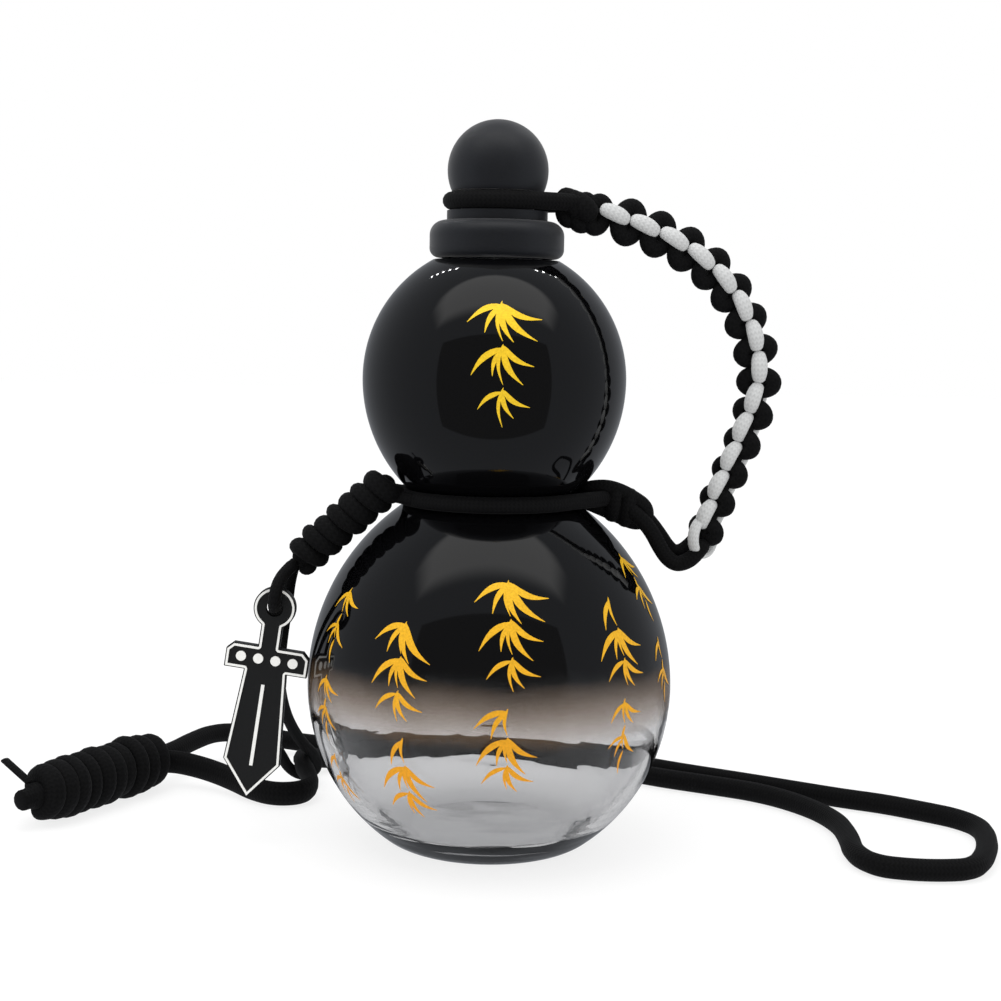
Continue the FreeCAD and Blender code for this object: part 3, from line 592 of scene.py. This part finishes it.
def cord_finish(name, tone, groove_shade_share, sheen):
    """The woven finish of one cord, made once, with painted shade making its grooves darker than its yarn.
    """
    known = bpy.data.materials.get(name)
    if known:
        return known
    settings = bpy.context.scene.gourd_cord
    # Painted shade: the groove colour is the yarn colour darkened by this share, standing in for the shade
    # between the grains
    groove = [groove_shade_share * share for share in tone]
    return woven_polyester(name, tone, groove, settings.yarn, settings.columns, sheen)


def black_cord():
    """The black cord's finish."""
    return cord_finish("woven_polyester_black", bpy.context.scene.gourd_cord.black, 0.55, 0.02)


def white_cord():
    """The white cord's finish."""
    return cord_finish("woven_polyester_white", bpy.context.scene.gourd_cord.white, 0.8, 0.1)


# Pieces

class GOURD_OT_glass(bpy.types.Operator):
    """Clear glass on the bottle, and the screw thread on its neck"""
    bl_idname = "gourd.glass"
    bl_label = "Glass"

    def execute(self, context):
        glass = soda_lime_glass(context.scene.gourd_glass)
        paint_node("glass_bottle", glass)
        start_z = 0.1800
        pitch = 0.004
        turn_count = 1.15
        run_out = 8
        thread = Mould()
        turns = helix((0, 0, start_z), (0, 0, 1), (1, 0, 0), 1.0, neck_radius, pitch, 0.0, turn_count,
                      per_turn=64)
        tube(thread, turns, 0.00033, 0.0006, side=(1, 0, 0), sides=8,
             swell=lambda share: max(0.05, min(1.0, run_out * share, run_out * (1 - share))))
        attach(thread.piece("neck_thread", glass, "glass"), "bottle")
        return {"FINISHED"}


class GOURD_OT_lacquer(bpy.types.Operator):
    """The sprayed black coat that fades out in the lower bulb"""
    bl_idname = "gourd.lacquer"
    bl_label = "Lacquer"

    def execute(self, context):
        settings = context.scene.gourd_glass
        rows = 221
        around = 128
        below_fade = 0.008
        under_ledge = 0.0002
        thickness = 0.00012
        low = settings.fade_bottom - below_fade
        heights = [low + (ledge_z - under_ledge - low) * i / (rows - 1) for i in range(rows)]
        points = [on_glass(2 * math.pi * k / around, z, thickness) for z in heights for k in range(around)]
        faces, charts = grid(rows, around, True, lambda i, k: (k / around, heights[i]))
        coat = Mould()
        coat.add(points, faces, charts)
        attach(coat.piece("lacquer_coat", sprayed_lacquer(settings), "glass"), "bottle")
        return {"FINISHED"}


class GOURD_OT_print(bpy.types.Operator):
    """Gold bamboo sprigs printed on both bulbs"""
    bl_idname = "gourd.print"
    bl_label = "Gold print"

    def leaf(self, mould, azimuth, z, turn, size, width, lift):
        """One pointed leaf, from its stalk at the given place."""
        radius = glass_radius(z)
        rows = 9
        edges = (-1.0, 0.0, 1.0)
        tip_half_width = 0.00008
        bow = 0.12
        points = []
        for i in range(rows):
            share = i / (rows - 1)
            half = width * math.sin(math.pi * share ** 0.75) * (1.0 - 0.35 * share) + tip_half_width
            bend = bow * size * math.sin(math.pi * share)
            for edge in edges:
                run = size * share
                out = edge * half + bend
                over = run * math.sin(turn) + out * math.cos(turn)
                rise = run * math.cos(turn) - out * math.sin(turn)
                points.append(on_glass(azimuth + over / radius, z + rise, lift))
        faces, charts = grid(rows, len(edges), False, lambda i, k: (i / rows, k / 2))
        mould.add(points, faces, charts)

    def sprig(self, mould, azimuth, top, height, leaves, lift):
        """A jointed cane with leaves in pairs, hung from its top."""
        joints = 3
        joint_lean = 0.004
        joint_share = 0.93
        cane_half_width = 0.0005
        leaf_width_share = 0.085
        for i in range(joints):
            z = top - height * i / joints
            self.leaf(mould, azimuth + joint_lean * i, z, math.pi, height / joints * joint_share,
                      cane_half_width, lift)
        for place, turn, size in leaves:
            self.leaf(mould, azimuth, top - height * place, math.radians(turn), size,
                      leaf_width_share * size, lift)

    def execute(self, context):
        settings = context.scene.gourd_print
        mould = Mould()
        # Leaves: share of the way down the cane, direction in degrees from straight up, length
        fan = [
            (0.02, 112, 0.0115), (0.02, 140, 0.0135), (0.02, 166, 0.011), (0.03, -118, 0.0105),
            (0.03, -150, 0.009), (0.34, 124, 0.0105), (0.35, 152, 0.012), (0.36, -132, 0.0115),
            (0.37, -160, 0.008), (0.68, 122, 0.0095), (0.69, 156, 0.0085), (0.70, -126, 0.0085)]
        spray = [
            (0.05, 118, 0.008), (0.05, 150, 0.0075), (0.06, -132, 0.0075), (0.45, 138, 0.0085),
            (0.48, -116, 0.0065), (0.5, -152, 0.006)]
        # Sprigs: azimuth, top, height, leaves
        sprigs = [
            (0.06, 0.166, 0.036, fan), (0.12, 0.088, 0.030, fan), (0.10, 0.054, 0.024, fan[3:]),
            (-0.48, 0.076, 0.028, fan[1:]), (-0.44, 0.044, 0.024, fan[4:]),
            (0.80, 0.082, 0.025, fan[4:]), (0.78, 0.054, 0.023, spray), (-1.02, 0.082, 0.022, spray),
            (-1.02, 0.057, 0.020, spray), (-0.98, 0.034, 0.016, spray[2:]), (1.22, 0.092, 0.020, spray),
            (1.22, 0.068, 0.020, spray[2:])]
        for azimuth, top, height, leaves in sprigs:
            self.sprig(mould, azimuth, top, height, leaves, settings.lift)
        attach(mould.piece("gold_sprigs", gold_print(settings), "glass"), "bottle")
        return {"FINISHED"}


class GOURD_OT_cap(bpy.types.Operator):
    """Soft-touch cap with its liner and washer"""
    bl_idname = "gourd.cap"
    bl_label = "Cap"

    def execute(self, context):
        settings = context.scene.gourd_cap
        paint_node("cap_shell", soft_touch_abs(settings))
        paint_node("cap_liner", moulded_polypropylene(settings))
        paint_node("seal_ring", silicone(settings))
        return {"FINISHED"}


class GOURD_OT_cap_loop(bpy.types.Operator):
    """The cord loop that lies in the groove of the cap"""
    bl_idname = "gourd.cap_loop"
    bl_label = "Cap loop"

    def execute(self, context):
        radius = 0.0139
        aim = 0.030
        reach = 0.0255
        groove_z = 0.1958
        points = eye_line(radius, aim, reach, groove_z, 56)
        points.insert(1, (points[0] + points[1]) / 2)
        points.insert(-1, (points[-2] + points[-1]) / 2)
        mould = Mould()
        tube(mould, points, context.scene.gourd_cord.loop / 2, side=(0, 0, 1))
        loop = mould.piece("cap_loop_cord", black_cord(), "black_cord")
        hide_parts("cap_loop")
        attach(loop, "cap_collar")
        return {"FINISHED"}


# Route of the tether

braid_route = [
    (0.0265, 0, 0.1946), (0.0431, 0, 0.1895), (0.0585, 0, 0.1824), (0.0706, 0, 0.1716), (0.0779, 0, 0.157),
    (0.0810, 0, 0.1425), (0.0755, 0, 0.124), (0.0685, 0, 0.1075), (0.0636, 0, 0.0925)]


def follow_cap(piece):
    """Bake a piece of the tether's place into its mesh."""
    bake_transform(piece)


class GOURD_OT_braid(bpy.types.Operator):
    """The braided tether: core, side loops, white stitches, head and end wrap"""
    bl_idname = "gourd.braid"
    bl_label = "Braid"

    first = 0.0088
    count = 13

    def place(self, line, index, pitch):
        """Where a stitch sits: its middle, the braid's direction, the outer side and the face's normal."""
        centre, way = along(line, self.first + pitch * index)
        front = Vector((0, -1, 0))
        outer = front.cross(way)
        twist_start = -15
        twist_by = 58
        twist_from_stitch = 5.5
        twist_stitches = 4
        share = min(1.0, max(0.0, (index - twist_from_stitch) / twist_stitches))
        twist = math.radians(twist_by * share * share * (3 - 2 * share) + twist_start)
        turn = Matrix.Rotation(twist, 3, way)
        return centre, way, turn @ outer, turn @ front

    def side_loop(self, mould, place, hand, size=1.0):
        """One black loop that bulges out of the braid's side."""
        centre, way, outer, front = place
        steps = 18
        half_sweep = 112
        half_length = 0.0025
        root = 0.0008
        bulge = 0.0038
        slant = 0.0006
        points = []
        for i in range(steps + 1):
            angle = math.radians(-half_sweep + 2 * half_sweep * i / steps)
            points.append(centre + way * (half_length * size * math.sin(angle))
                          + outer * (hand * (root + bulge * size * math.cos(angle)))
                          - front * (slant * math.sin(angle)))
        tube(mould, points, 0.0026 * size, 0.0022 * size, side=way, cap=0.6)

    def stitch(self, mould, place, face, half_length=0.0032, half_width=0.00245, half_depth=0.0020,
               lean=6.0):
        """One crossing strand on a face of the braid, tucked in at both ends."""
        centre, way, outer, front = place
        out = front * face
        steps = 12
        front_height = 0.0035
        back_height = 0.0026
        tuck = 0.0009
        narrowing = 0.16
        height = front_height if face > 0 else back_height
        lie = Matrix.Rotation(math.radians(-lean * face), 3, out) @ way
        points = []
        for i in range(steps + 1):
            share = -1.0 + 2.0 * i / steps
            points.append(centre + lie * (half_length * share) + out * (height - tuck * share ** 2))
        tube(mould, points, half_width, half_depth, side=lie.cross(out),
             swell=lambda share: 1.0 - narrowing * abs(2 * share - 1) ** 2.5)

    def execute(self, context):
        settings = context.scene.gourd_cord
        pitch = settings.braid_pitch
        line = smooth_line(braid_route, 16)
        places = [self.place(line, i, pitch) for i in range(self.count)]
        between = [self.place(line, i + 0.5, pitch) for i in range(self.count)]
        core = Mould()
        tube(core, line, 0.002, cap=0.5)
        core_piece = core.piece("tether_core", black_cord(), "black_cord")
        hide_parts("braid_core")
        follow_cap(core_piece)
        pieces = []
        for name, hand in [("braid_knots_outer", 1.0), ("braid_knots_inner", -1.0)]:
            mould = Mould()
            for index, place in enumerate(between):
                self.side_loop(mould, place, hand, 1.06 - 0.014 * index)
            pieces.append((mould.piece(name.replace("knots", "loops"), black_cord(), "black_cord"), name))
        for name, face in [("braid_stitch_front", 1.0), ("braid_stitch_back", -1.0)]:
            mould = Mould()
            for place in places:
                self.stitch(mould, place, face)
            pieces.append((mould.piece(name.replace("stitch", "strand"), white_cord(), "white_cord"), name))
        head = Mould()
        centre, way, outer, front = self.place(line, 0, pitch)
        inward = 0.0012
        for reach, outer_size, inner_size in [(0.0048, 0.95, 0.9), (0.0090, 0.8, 1.0), (0.0128, 0.7, 0.95)]:
            start = (centre - way * reach - outer * inward, way, outer, front)
            self.side_loop(head, start, 1.0, outer_size)
            self.side_loop(head, start, -1.0, inner_size)
        for reach in (0.0102, 0.0132):
            start = (centre - way * reach - outer * inward, way, outer, front)
            for face in (1.0, -1.0):
                self.stitch(head, start, face, 0.0034, 0.0036, 0.0024, 20.0)
        pieces.append((head.piece("tether_head", black_cord(), "black_cord"), "braid_head"))
        wrap = Mould()
        wrap_from_end = 0.0034
        middle = along(line, line_length(line) - wrap_from_end)[0]
        ring = oval(middle, Vector((0, 0, -0.0055)), Vector((-0.0035, -0.0042, 0)), 40)
        tube(wrap, ring, 0.0012, 0.0019, side=(0, 0, 1), closed=True)
        pieces.append((wrap.piece("tether_end_wrap", white_cord(), "white_cord"), "braid_end_wrap"))
        for piece, node in pieces:
            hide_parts(node)
            follow_cap(piece)
        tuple(line[0])
        line_length(line)
        return {"FINISHED"}


class GOURD_OT_tether_end(bpy.types.Operator):
    """The two tails, the hitch and the cord round the waist"""
    bl_idname = "gourd.tether_end"
    bl_label = "Tether end"

    def execute(self, context):
        settings = context.scene.gourd_cord
        front_tail = [
            (0.0640, -0.0024, 0.0930), (0.0618, -0.0025, 0.0899), (0.0590, -0.0026, 0.0881),
            (0.0562, -0.0026, 0.0876), (0.0535, -0.0026, 0.0894), (0.0512, -0.0027, 0.0927),
            (0.0490, -0.0030, 0.0968), (0.0462, -0.0034, 0.1006), (0.0425, -0.0030, 0.1036)]
        back_tail = [
            (0.0622, 0.0024, 0.0942), (0.0603, 0.0025, 0.0922), (0.0585, 0.0026, 0.0908),
            (0.0560, 0.0026, 0.0904), (0.0538, 0.0026, 0.0925), (0.0516, 0.0027, 0.0958),
            (0.0490, 0.0030, 0.0992), (0.0462, 0.0034, 0.1022), (0.0425, 0.0030, 0.1046)]
        for name, route in [("tether_tail_front", front_tail), ("tether_tail_back", back_tail)]:
            mould = Mould()
            tube(mould, smooth_line(route), settings.tail / 2)
            piece = mould.piece(name.replace("tail", "strand"), black_cord(), "black_cord")
            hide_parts(name)
            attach(piece, "bottle")
        hitch = Mould()
        bight = [
            (0.0296, 0.0, 0.1098), (0.0335, -0.0006, 0.1106), (0.0385, -0.0008, 0.1095),
            (0.0432, -0.0006, 0.1070), (0.0466, 0.0, 0.1046), (0.0470, 0.0, 0.1012),
            (0.0440, 0.0, 0.0998), (0.0395, 0.0006, 0.1016), (0.0345, 0.0008, 0.1038),
            (0.0290, 0.0004, 0.1060)]
        tube(hitch, smooth_line(bight), 0.0026, 0.0030, side=(0, 0, 1))
        axis = Vector((0.93, 0, -0.36)).normalized()
        over = axis.cross(Vector((0, -1, 0)))
        hitch_middle = Vector((0.0385, 0, 0.1054))
        half_height = 0.0043
        half_depth = 0.0033
        for offset, tilt in [(-0.0018, 0.30), (0.0028, 0.22)]:
            ring = oval(hitch_middle + axis * offset, (over + axis * tilt) * half_height,
                        Vector((0, -half_depth, 0)), 32)
            tube(hitch, ring, 0.0023, 0.0017, side=axis, closed=True)
        piece = hitch.piece("tether_cow_hitch", black_cord(), "black_cord")
        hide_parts("tether_hitch")
        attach(piece, "bottle")
        clearance = 0.0003
        aim_reach = 0.00885
        end_reach = 0.0066
        radius = waist_round_radius - waist_round + settings.waist / 2 + clearance
        points = eye_line(radius, radius + aim_reach, radius + end_reach, waist_z, 90)
        mould = Mould()
        tube(mould, points, settings.waist / 2, side=(0, 0, 1))
        piece = mould.piece("waist_band_cord", black_cord(), "black_cord")
        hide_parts("waist_cord")
        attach(piece, "bottle")
        return {"FINISHED"}


class GOURD_OT_charm_knot(bpy.types.Operator):
    """The barrel knot on the left and the link cord below it"""
    bl_idname = "gourd.charm_knot"
    bl_label = "Charm knot"

    def execute(self, context):
        settings = context.scene.gourd_cord
        start = Vector((-0.0306, -0.0135, 0.1124))
        end = Vector((-0.0567, -0.008, 0.0887))
        axis = (end - start).normalized()
        turn_count = 7
        core = 0.0030
        strand_radius = 0.0020
        pitch = (end - start).length / turn_count
        knot = Mould()
        turns = helix(start, axis, (0, 1, 0), 1.0, 0.0035, pitch, math.pi / 2, turn_count, sway=0.05)
        tube(knot, turns, 0.0030, 0.0025, side=axis, cap=0.8, swell=lambda share: 1.1 - 0.13 * share)
        tube(knot, [start + axis * 0.001, (start + end) / 2, end + axis * 0.0008], core, cap=0.8)
        front_strand = [
            (-0.0215, -0.0166, 0.1073), (-0.0275, -0.0150, 0.1078), (-0.0330, -0.0108, 0.1092),
            (-0.0362, -0.0078, 0.1086)]
        back_strand = [
            (-0.0262, 0.0072, 0.1073), (-0.0292, 0.0020, 0.1080), (-0.0322, -0.0030, 0.1096),
            (-0.0362, -0.0066, 0.1090)]
        for strand in (front_strand, back_strand):
            tube(knot, smooth_line(strand), strand_radius)
        piece = knot.piece("charm_barrel_knot", black_cord(), "black_cord")
        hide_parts("charm_knot")
        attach(piece, "bottle")
        link_route = [
            (-0.0596, -0.0062, 0.086), (-0.061, -0.0052, 0.0816), (-0.0622, -0.0026, 0.073),
            (-0.0645, 0.0035, 0.0615), (-0.0672, 0.015, 0.046), (-0.0668, 0.03, 0.031),
            (-0.0636, 0.044, 0.0185), (-0.0592, 0.0545, 0.0105), (-0.059, 0.0587, 0.0047),
            (-0.064, 0.059, 0.00205), (-0.069, 0.0587, 0.0047), (-0.0710, 0.0545, 0.0105),
            (-0.0730, 0.044, 0.0185), (-0.0728, 0.03, 0.031), (-0.0722, 0.015, 0.0455),
            (-0.07, 0.0025, 0.0585), (-0.0668, -0.0046, 0.0674), (-0.0644, -0.009, 0.0742),
            (-0.0642, -0.014, 0.0744), (-0.0641, -0.0186, 0.0747), (-0.0636, -0.0206, 0.0782),
            (-0.063, -0.0186, 0.0818), (-0.062, -0.0144, 0.084), (-0.0599, -0.0106, 0.086)]
        line = smooth_line(link_route)
        mould = Mould()
        tube(mould, line, settings.link / 2, sides=12)
        link = mould.piece("charm_link_cord", black_cord(), "black_cord")
        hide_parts("charm_link")
        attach(link, "bottle")
        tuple(line[0])
        line_length(line)
        return {"FINISHED"}


class GOURD_OT_charm(bpy.types.Operator):
    """The moulded sword charm"""
    bl_idname = "gourd.charm"
    bl_label = "Charm"

    def execute(self, context):
        settings = context.scene.gourd_charm
        paint_node("charm_plate", soft_pvc("soft_pvc_black", settings.plate_black))
        line = soft_pvc("soft_pvc_white", settings.line_white)
        paint_node("charm_border", line)
        paint_node("charm_motif", line)
        return {"FINISHED"}


class GOURD_OT_strap(bpy.types.Operator):
    """The carry strap with its barrel knot and cut ends"""
    bl_idname = "gourd.strap"
    bl_label = "Strap"

    def execute(self, context):
        settings = context.scene.gourd_cord
        long_route = [
            (-0.064, 0.057, 0.0086), (-0.064, 0.062, 0.0086), (-0.0622, 0.0688, 0.0062),
            (-0.0564, 0.0758, 0.0037), (-0.046, 0.0815, 0.00335), (-0.03, 0.0865, 0.00335),
            (-0.008, 0.089, 0.00335), (0.016, 0.087, 0.00335), (0.038, 0.0755, 0.00335),
            (0.0575, 0.0615, 0.00335), (0.075, 0.0530, 0.00335), (0.0925, 0.0438, 0.00335),
            (0.105, 0.029, 0.00335), (0.1118, 0.0125, 0.00335), (0.1122, -0.004, 0.00335),
            (0.1104, -0.02, 0.00335), (0.1146, -0.031, 0.00335), (0.124, -0.034, 0.00335),
            (0.134, -0.0344, 0.00335), (0.143, -0.0324, 0.00335), (0.1494, -0.0215, 0.00335),
            (0.1546, -0.0065, 0.00335), (0.1566, 0.0085, 0.00335), (0.1516, 0.0184, 0.00335),
            (0.1425, 0.0254, 0.00335), (0.131, 0.0336, 0.00335), (0.1187, 0.0392, 0.00335),
            (0.104, 0.0478, 0.00335), (0.086, 0.0583, 0.00335), (0.066, 0.0690, 0.00335),
            (0.044, 0.0834, 0.00335), (0.019, 0.0945, 0.00335), (-0.008, 0.098, 0.00335),
            (-0.034, 0.0964, 0.00335), (-0.056, 0.0956, 0.00335), (-0.074, 0.0965, 0.0048),
            (-0.088, 0.0925, 0.0086), (-0.0985, 0.082, 0.0112), (-0.105, 0.069, 0.0107),
            (-0.1095, 0.0576, 0.0099), (-0.116, 0.0463, 0.0099)]
        short_route = [
            (-0.064, 0.0565, 0.0086), (-0.064, 0.0515, 0.0086), (-0.0605, 0.0446, 0.0068),
            (-0.0585, 0.037, 0.0047), (-0.0618, 0.0298, 0.0044), (-0.070, 0.0282, 0.0044),
            (-0.0782, 0.0336, 0.0046), (-0.0855, 0.0414, 0.0054), (-0.0935, 0.0472, 0.0066),
            (-0.1015, 0.0504, 0.0078), (-0.1085, 0.0522, 0.0084), (-0.1132, 0.0502, 0.0086)]
        start = Vector((-0.113, 0.0515, 0.0099))
        axis = Vector((-0.4985, -0.8669, 0.0)).normalized()
        side = Vector((0, 0, 1)).cross(axis)
        turn_count = 10
        pitch = 0.00538
        core = 0.0042
        core_length = 0.0575
        knot = Mould()
        turns = helix(start, axis, side, -1.0, 0.0066, pitch, math.pi / 2, turn_count, sway=0.06,
                      grow=lambda share: min(1.0, 0.78 + 2.2 * share, 0.74 + 5 * (1 - share)))
        tube(knot, turns, 0.0034, 0.0028, side=axis, cap=0.8)
        tube(knot, [start, start + axis * 0.028, start + axis * core_length], core, cap=0.6)
        knot_piece = knot.piece("strap_barrel_knot", black_cord(), "black_cord")
        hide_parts("strap_knot")
        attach(knot_piece, "bottle")
        stub = Mould()
        low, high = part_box("strap_stub")
        middle = (Vector(low) + Vector(high)) / 2
        tube(stub, [middle - axis * 0.0055, middle, middle + axis * 0.0042], settings.strap / 2, cap=0.35)
        stub_piece = stub.piece("strap_cut_end", black_cord(), "black_cord")
        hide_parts("strap_stub")
        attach(stub_piece, "bottle")
        tail = Mould()
        low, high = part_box("strap_tail")
        inner = Vector((high[0], low[1], low[2])) + Vector((0.0016, 0.0016, 0.0002))
        outer = Vector((low[0], high[1], high[2])) + Vector((0.0034, -0.0016, -0.0006))
        into_knot = 0.003
        inner += (inner - outer).normalized() * into_knot
        tube(tail, [inner, inner * 0.7 + outer * 0.3, inner * 0.35 + outer * 0.65, outer], 0.0019, 0.0006,
             side=(0.35, 0.9, 0.0), cap=0.8)
        tail_piece = tail.piece("strap_melted_tail", black_cord(), "black_cord")
        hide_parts("strap_tail")
        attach(tail_piece, "bottle")
        # Strands: node, route, how far the cord is pressed flat, pieces on it
        strands = [
            ("strap_long", long_route, 1.0, [knot_piece, stub_piece, tail_piece]),
            ("strap_short", short_route, 1.25, [])]
        for name, route, flat, pieces in strands:
            line = smooth_line(route)
            mould = Mould()
            tube(mould, line, settings.strap / 2 * flat, settings.strap / 2 / flat, side=(0, 0, 1))
            strap = mould.piece(name + "_cord", black_cord(), "black_cord")
            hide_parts(name)
            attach(strap, "bottle")
            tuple(line[0])
            line_length(line)
        return {"FINISHED"}


class GOURD_OT_stage(bpy.types.Operator):
    """White floor, light tent with its dark opening, lamps and the camera"""
    bl_idname = "gourd.stage"
    bl_label = "Stage"

    def paper(self, tone):
        """White paper: a matte, very pale sweep with a faint fibre."""
        material, tree = new_material("white_paper")
        fibre_size = 0.004
        under_lamp = 0.22
        place = add_node(tree, "ShaderNodeTexCoord")
        fibre = add_node(tree, "ShaderNodeTexNoise", {
            "Vector": place.outputs["Object"], "Scale": 1 / fibre_size})
        shade = add_node(tree, "ShaderNodeMapRange", {
            "Value": fibre.outputs[0], "To Min": 0.98, "To Max": 1.0})
        mix = add_node(tree, "ShaderNodeMix", {
            0: 1.0, 6: rgba([under_lamp * share for share in tone]), 7: shade.outputs[0]},
            data_type="RGBA", blend_type="MULTIPLY")
        surface = add_node(tree, "ShaderNodeBsdfPrincipled", {
            "Base Color": mix.outputs[2], "Roughness": 0.9, "Specular IOR Level": 0.1,
            "Emission Color": rgba(tone), "Emission Strength": 0.87})
        add_node(tree, "ShaderNodeOutputMaterial", {"Surface": surface.outputs[0]})
        return material

    def lit_cloth(self, name, strength, soft_from):
        """A plain lit surface, seen only in reflections, that fades out towards its edge."""
        material, tree = new_material(name)
        chart = add_node(tree, "ShaderNodeUVMap", uv_map="fade")
        part = add_node(tree, "ShaderNodeSeparateXYZ", {"Vector": chart.outputs[0]})
        fade = add_node(tree, "ShaderNodeMapRange", {
            "Value": part.outputs["X"], "From Min": soft_from, "From Max": 1.0},
            interpolation_type="SMOOTHSTEP")
        lit = add_node(tree, "ShaderNodeEmission", {"Color": rgba(linear("#FFFFFF")), "Strength": strength})
        clear = add_node(tree, "ShaderNodeBsdfTransparent")
        surface = add_node(tree, "ShaderNodeMixShader", {
            0: fade.outputs[0], 1: lit.outputs[0], 2: clear.outputs[0]})
        add_node(tree, "ShaderNodeOutputMaterial", {"Surface": surface.outputs[0]})
        return material

    def card(self, name, corners, material):
        """A card of wedges round its middle that only reflections see."""
        mesh = bpy.data.meshes.new(name)
        middle = [sum(corner[i] for corner in corners) / len(corners) for i in range(3)]
        count = len(corners)
        mesh.from_pydata([middle] + corners, [], [[0, 1 + i, 1 + (i + 1) % count] for i in range(count)])
        mesh.uv_layers.new(name="fade").data.foreach_set("uv", [0.0, 0.0, 1.0, 0.0, 1.0, 0.0] * count)
        mesh.materials.append(material)
        shape = bpy.data.objects.new(name, mesh)
        bpy.context.scene.collection.objects.link(shape)
        shape.visible_camera = False
        shape.visible_diffuse = False
        shape.visible_transmission = False
        shape.visible_shadow = False

    def lamp(self, name, place, aim, size, watts):
        """A square soft lamp turned to a point."""
        light = bpy.data.lights.new(name, "AREA")
        light.shape = "SQUARE"
        light.size = size
        light.energy = watts
        holder = bpy.data.objects.new(name, light)
        bpy.context.scene.collection.objects.link(holder)
        holder.location = place
        holder.rotation_euler = (Vector(aim) - Vector(place)).to_track_quat("-Z", "Y").to_euler()
        holder.visible_glossy = False

    def execute(self, context):
        settings = context.scene.gourd_stage
        scene = context.scene
        mesh = bpy.data.meshes.new("floor")
        half = 3.0
        corners = [(-half, -half, 0), (half, -half, 0), (half, half, 0), (-half, half, 0)]
        mesh.from_pydata(corners, [], [[0, 1, 2, 3]])
        mesh.materials.append(self.paper(settings.floor_white))
        floor = bpy.data.objects.new("floor", mesh)
        scene.collection.objects.link(floor)
        floor.visible_glossy = False
        opening = [(-1.07, -0.9, -0.69), (1.07, -0.9, -0.69), (1.07, -0.9, 0.89), (-1.07, -0.9, 0.89)]
        self.card("tent_opening", opening, self.lit_cloth("dark_room", 0.13, 0.96))
        dome = []
        dome_steps = 12
        for i in range(dome_steps + 1):
            turn = math.pi * i / dome_steps
            rise = math.sin(turn)
            dome.append((0.88 * math.cos(turn), -0.47 + 0.64 * rise ** 0.5, 0.81 + 0.52 * rise))
        self.card("tent_roof_cloth", dome, self.lit_cloth("lit_tent_cloth", 1.1, 0.65))
        bulb = self.lit_cloth("lamp_diode", 40.0, 0.9)
        diode_half = 0.0125
        diode_z = 1.04
        diode_rows = 5
        signs = [(-1, -1), (1, -1), (1, 1), (-1, 1)]
        for i in range(diode_rows):
            share = i / (diode_rows - 1)
            for hand in (-1.0, 1.0):
                x = hand * (0.35 + 0.265 * share)
                y = 0.455 + 0.235 * share
                corners = [(x + diode_half * over, y + diode_half * back, diode_z) for over, back in signs]
                self.card("tent_diode", corners, bulb)
        world = bpy.data.worlds.new("light_tent")
        world.use_nodes = True
        tree = world.node_tree
        tree.nodes.clear()
        path = add_node(tree, "ShaderNodeLightPath")
        in_reflections = (0.285, 0.297, 0.318)
        tone = add_node(tree, "ShaderNodeMix", {
            0: path.outputs["Is Glossy Ray"], 6: rgba(linear("#FFFFFF")), 7: rgba(in_reflections)},
            data_type="RGBA")
        sky = add_node(tree, "ShaderNodeBackground", {"Color": tone.outputs[2]})
        add_node(tree, "ShaderNodeOutputWorld", {"Surface": sky.outputs[0]})
        scene.world = world
        self.lamp("tent_roof", (-0.15, -0.1, 0.9), (0, 0, 0.1), 0.7, 4.0)
        eye = bpy.data.cameras.new("photograph")
        eye.lens = settings.lens
        eye.sensor_width = 36.0
        eye.clip_start = 0.01
        camera = bpy.data.objects.new("photograph", eye)
        scene.collection.objects.link(camera)
        camera.matrix_world = (Matrix.Translation(settings.eye) @ Matrix.Rotation(settings.pitch, 4, "X")
                               @ Matrix.Rotation(settings.roll, 4, "Z"))
        scene.camera = camera
        scene.view_settings.view_transform = "Standard"
        return {"FINISHED"}


operators = [
    GOURD_OT_glass, GOURD_OT_lacquer, GOURD_OT_print, GOURD_OT_cap, GOURD_OT_cap_loop, GOURD_OT_braid,
    GOURD_OT_tether_end, GOURD_OT_charm_knot, GOURD_OT_charm, GOURD_OT_strap, GOURD_OT_stage]


class GOURD_PT_pieces(bpy.types.Panel):
    """Lists the steps that dress the bottle"""
    bl_idname = "GOURD_PT_pieces"
    bl_label = "Gourd Bottle"
    bl_space_type = "VIEW_3D"
    bl_region_type = "UI"
    bl_category = "Gourd Bottle"

    def draw(self, context):
        for step in operators:
            self.layout.operator(step.bl_idname)


settings_groups = {
    "gourd_glass": GourdGlassSettings, "gourd_print": GourdPrintSettings, "gourd_cap": GourdCapSettings,
    "gourd_cord": GourdCordSettings, "gourd_charm": GourdCharmSettings, "gourd_stage": GourdStageSettings}


def register():
    """Register the settings, the operators and the panel."""
    for name, group in settings_groups.items():
        bpy.utils.register_class(group)
        setattr(bpy.types.Scene, name, PointerProperty(type=group))
    for kind in operators + [GOURD_PT_pieces]:
        bpy.utils.register_class(kind)


def unregister():
    """Take them out again."""
    for kind in [GOURD_PT_pieces] + operators[::-1]:
        bpy.utils.unregister_class(kind)
    for name, group in settings_groups.items():
        delattr(bpy.types.Scene, name)
        bpy.utils.unregister_class(group)


def main():
    """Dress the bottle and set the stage."""
    register()
    bpy.ops.gourd.glass()
    bpy.ops.gourd.lacquer()
    bpy.ops.gourd.print()
    bpy.ops.gourd.cap()
    bpy.ops.gourd.cap_loop()
    bpy.ops.gourd.braid()
    bpy.ops.gourd.tether_end()
    bpy.ops.gourd.charm_knot()
    bpy.ops.gourd.charm()
    bpy.ops.gourd.strap()
    bpy.ops.gourd.stage()


if __name__ == "__main__":
    main()
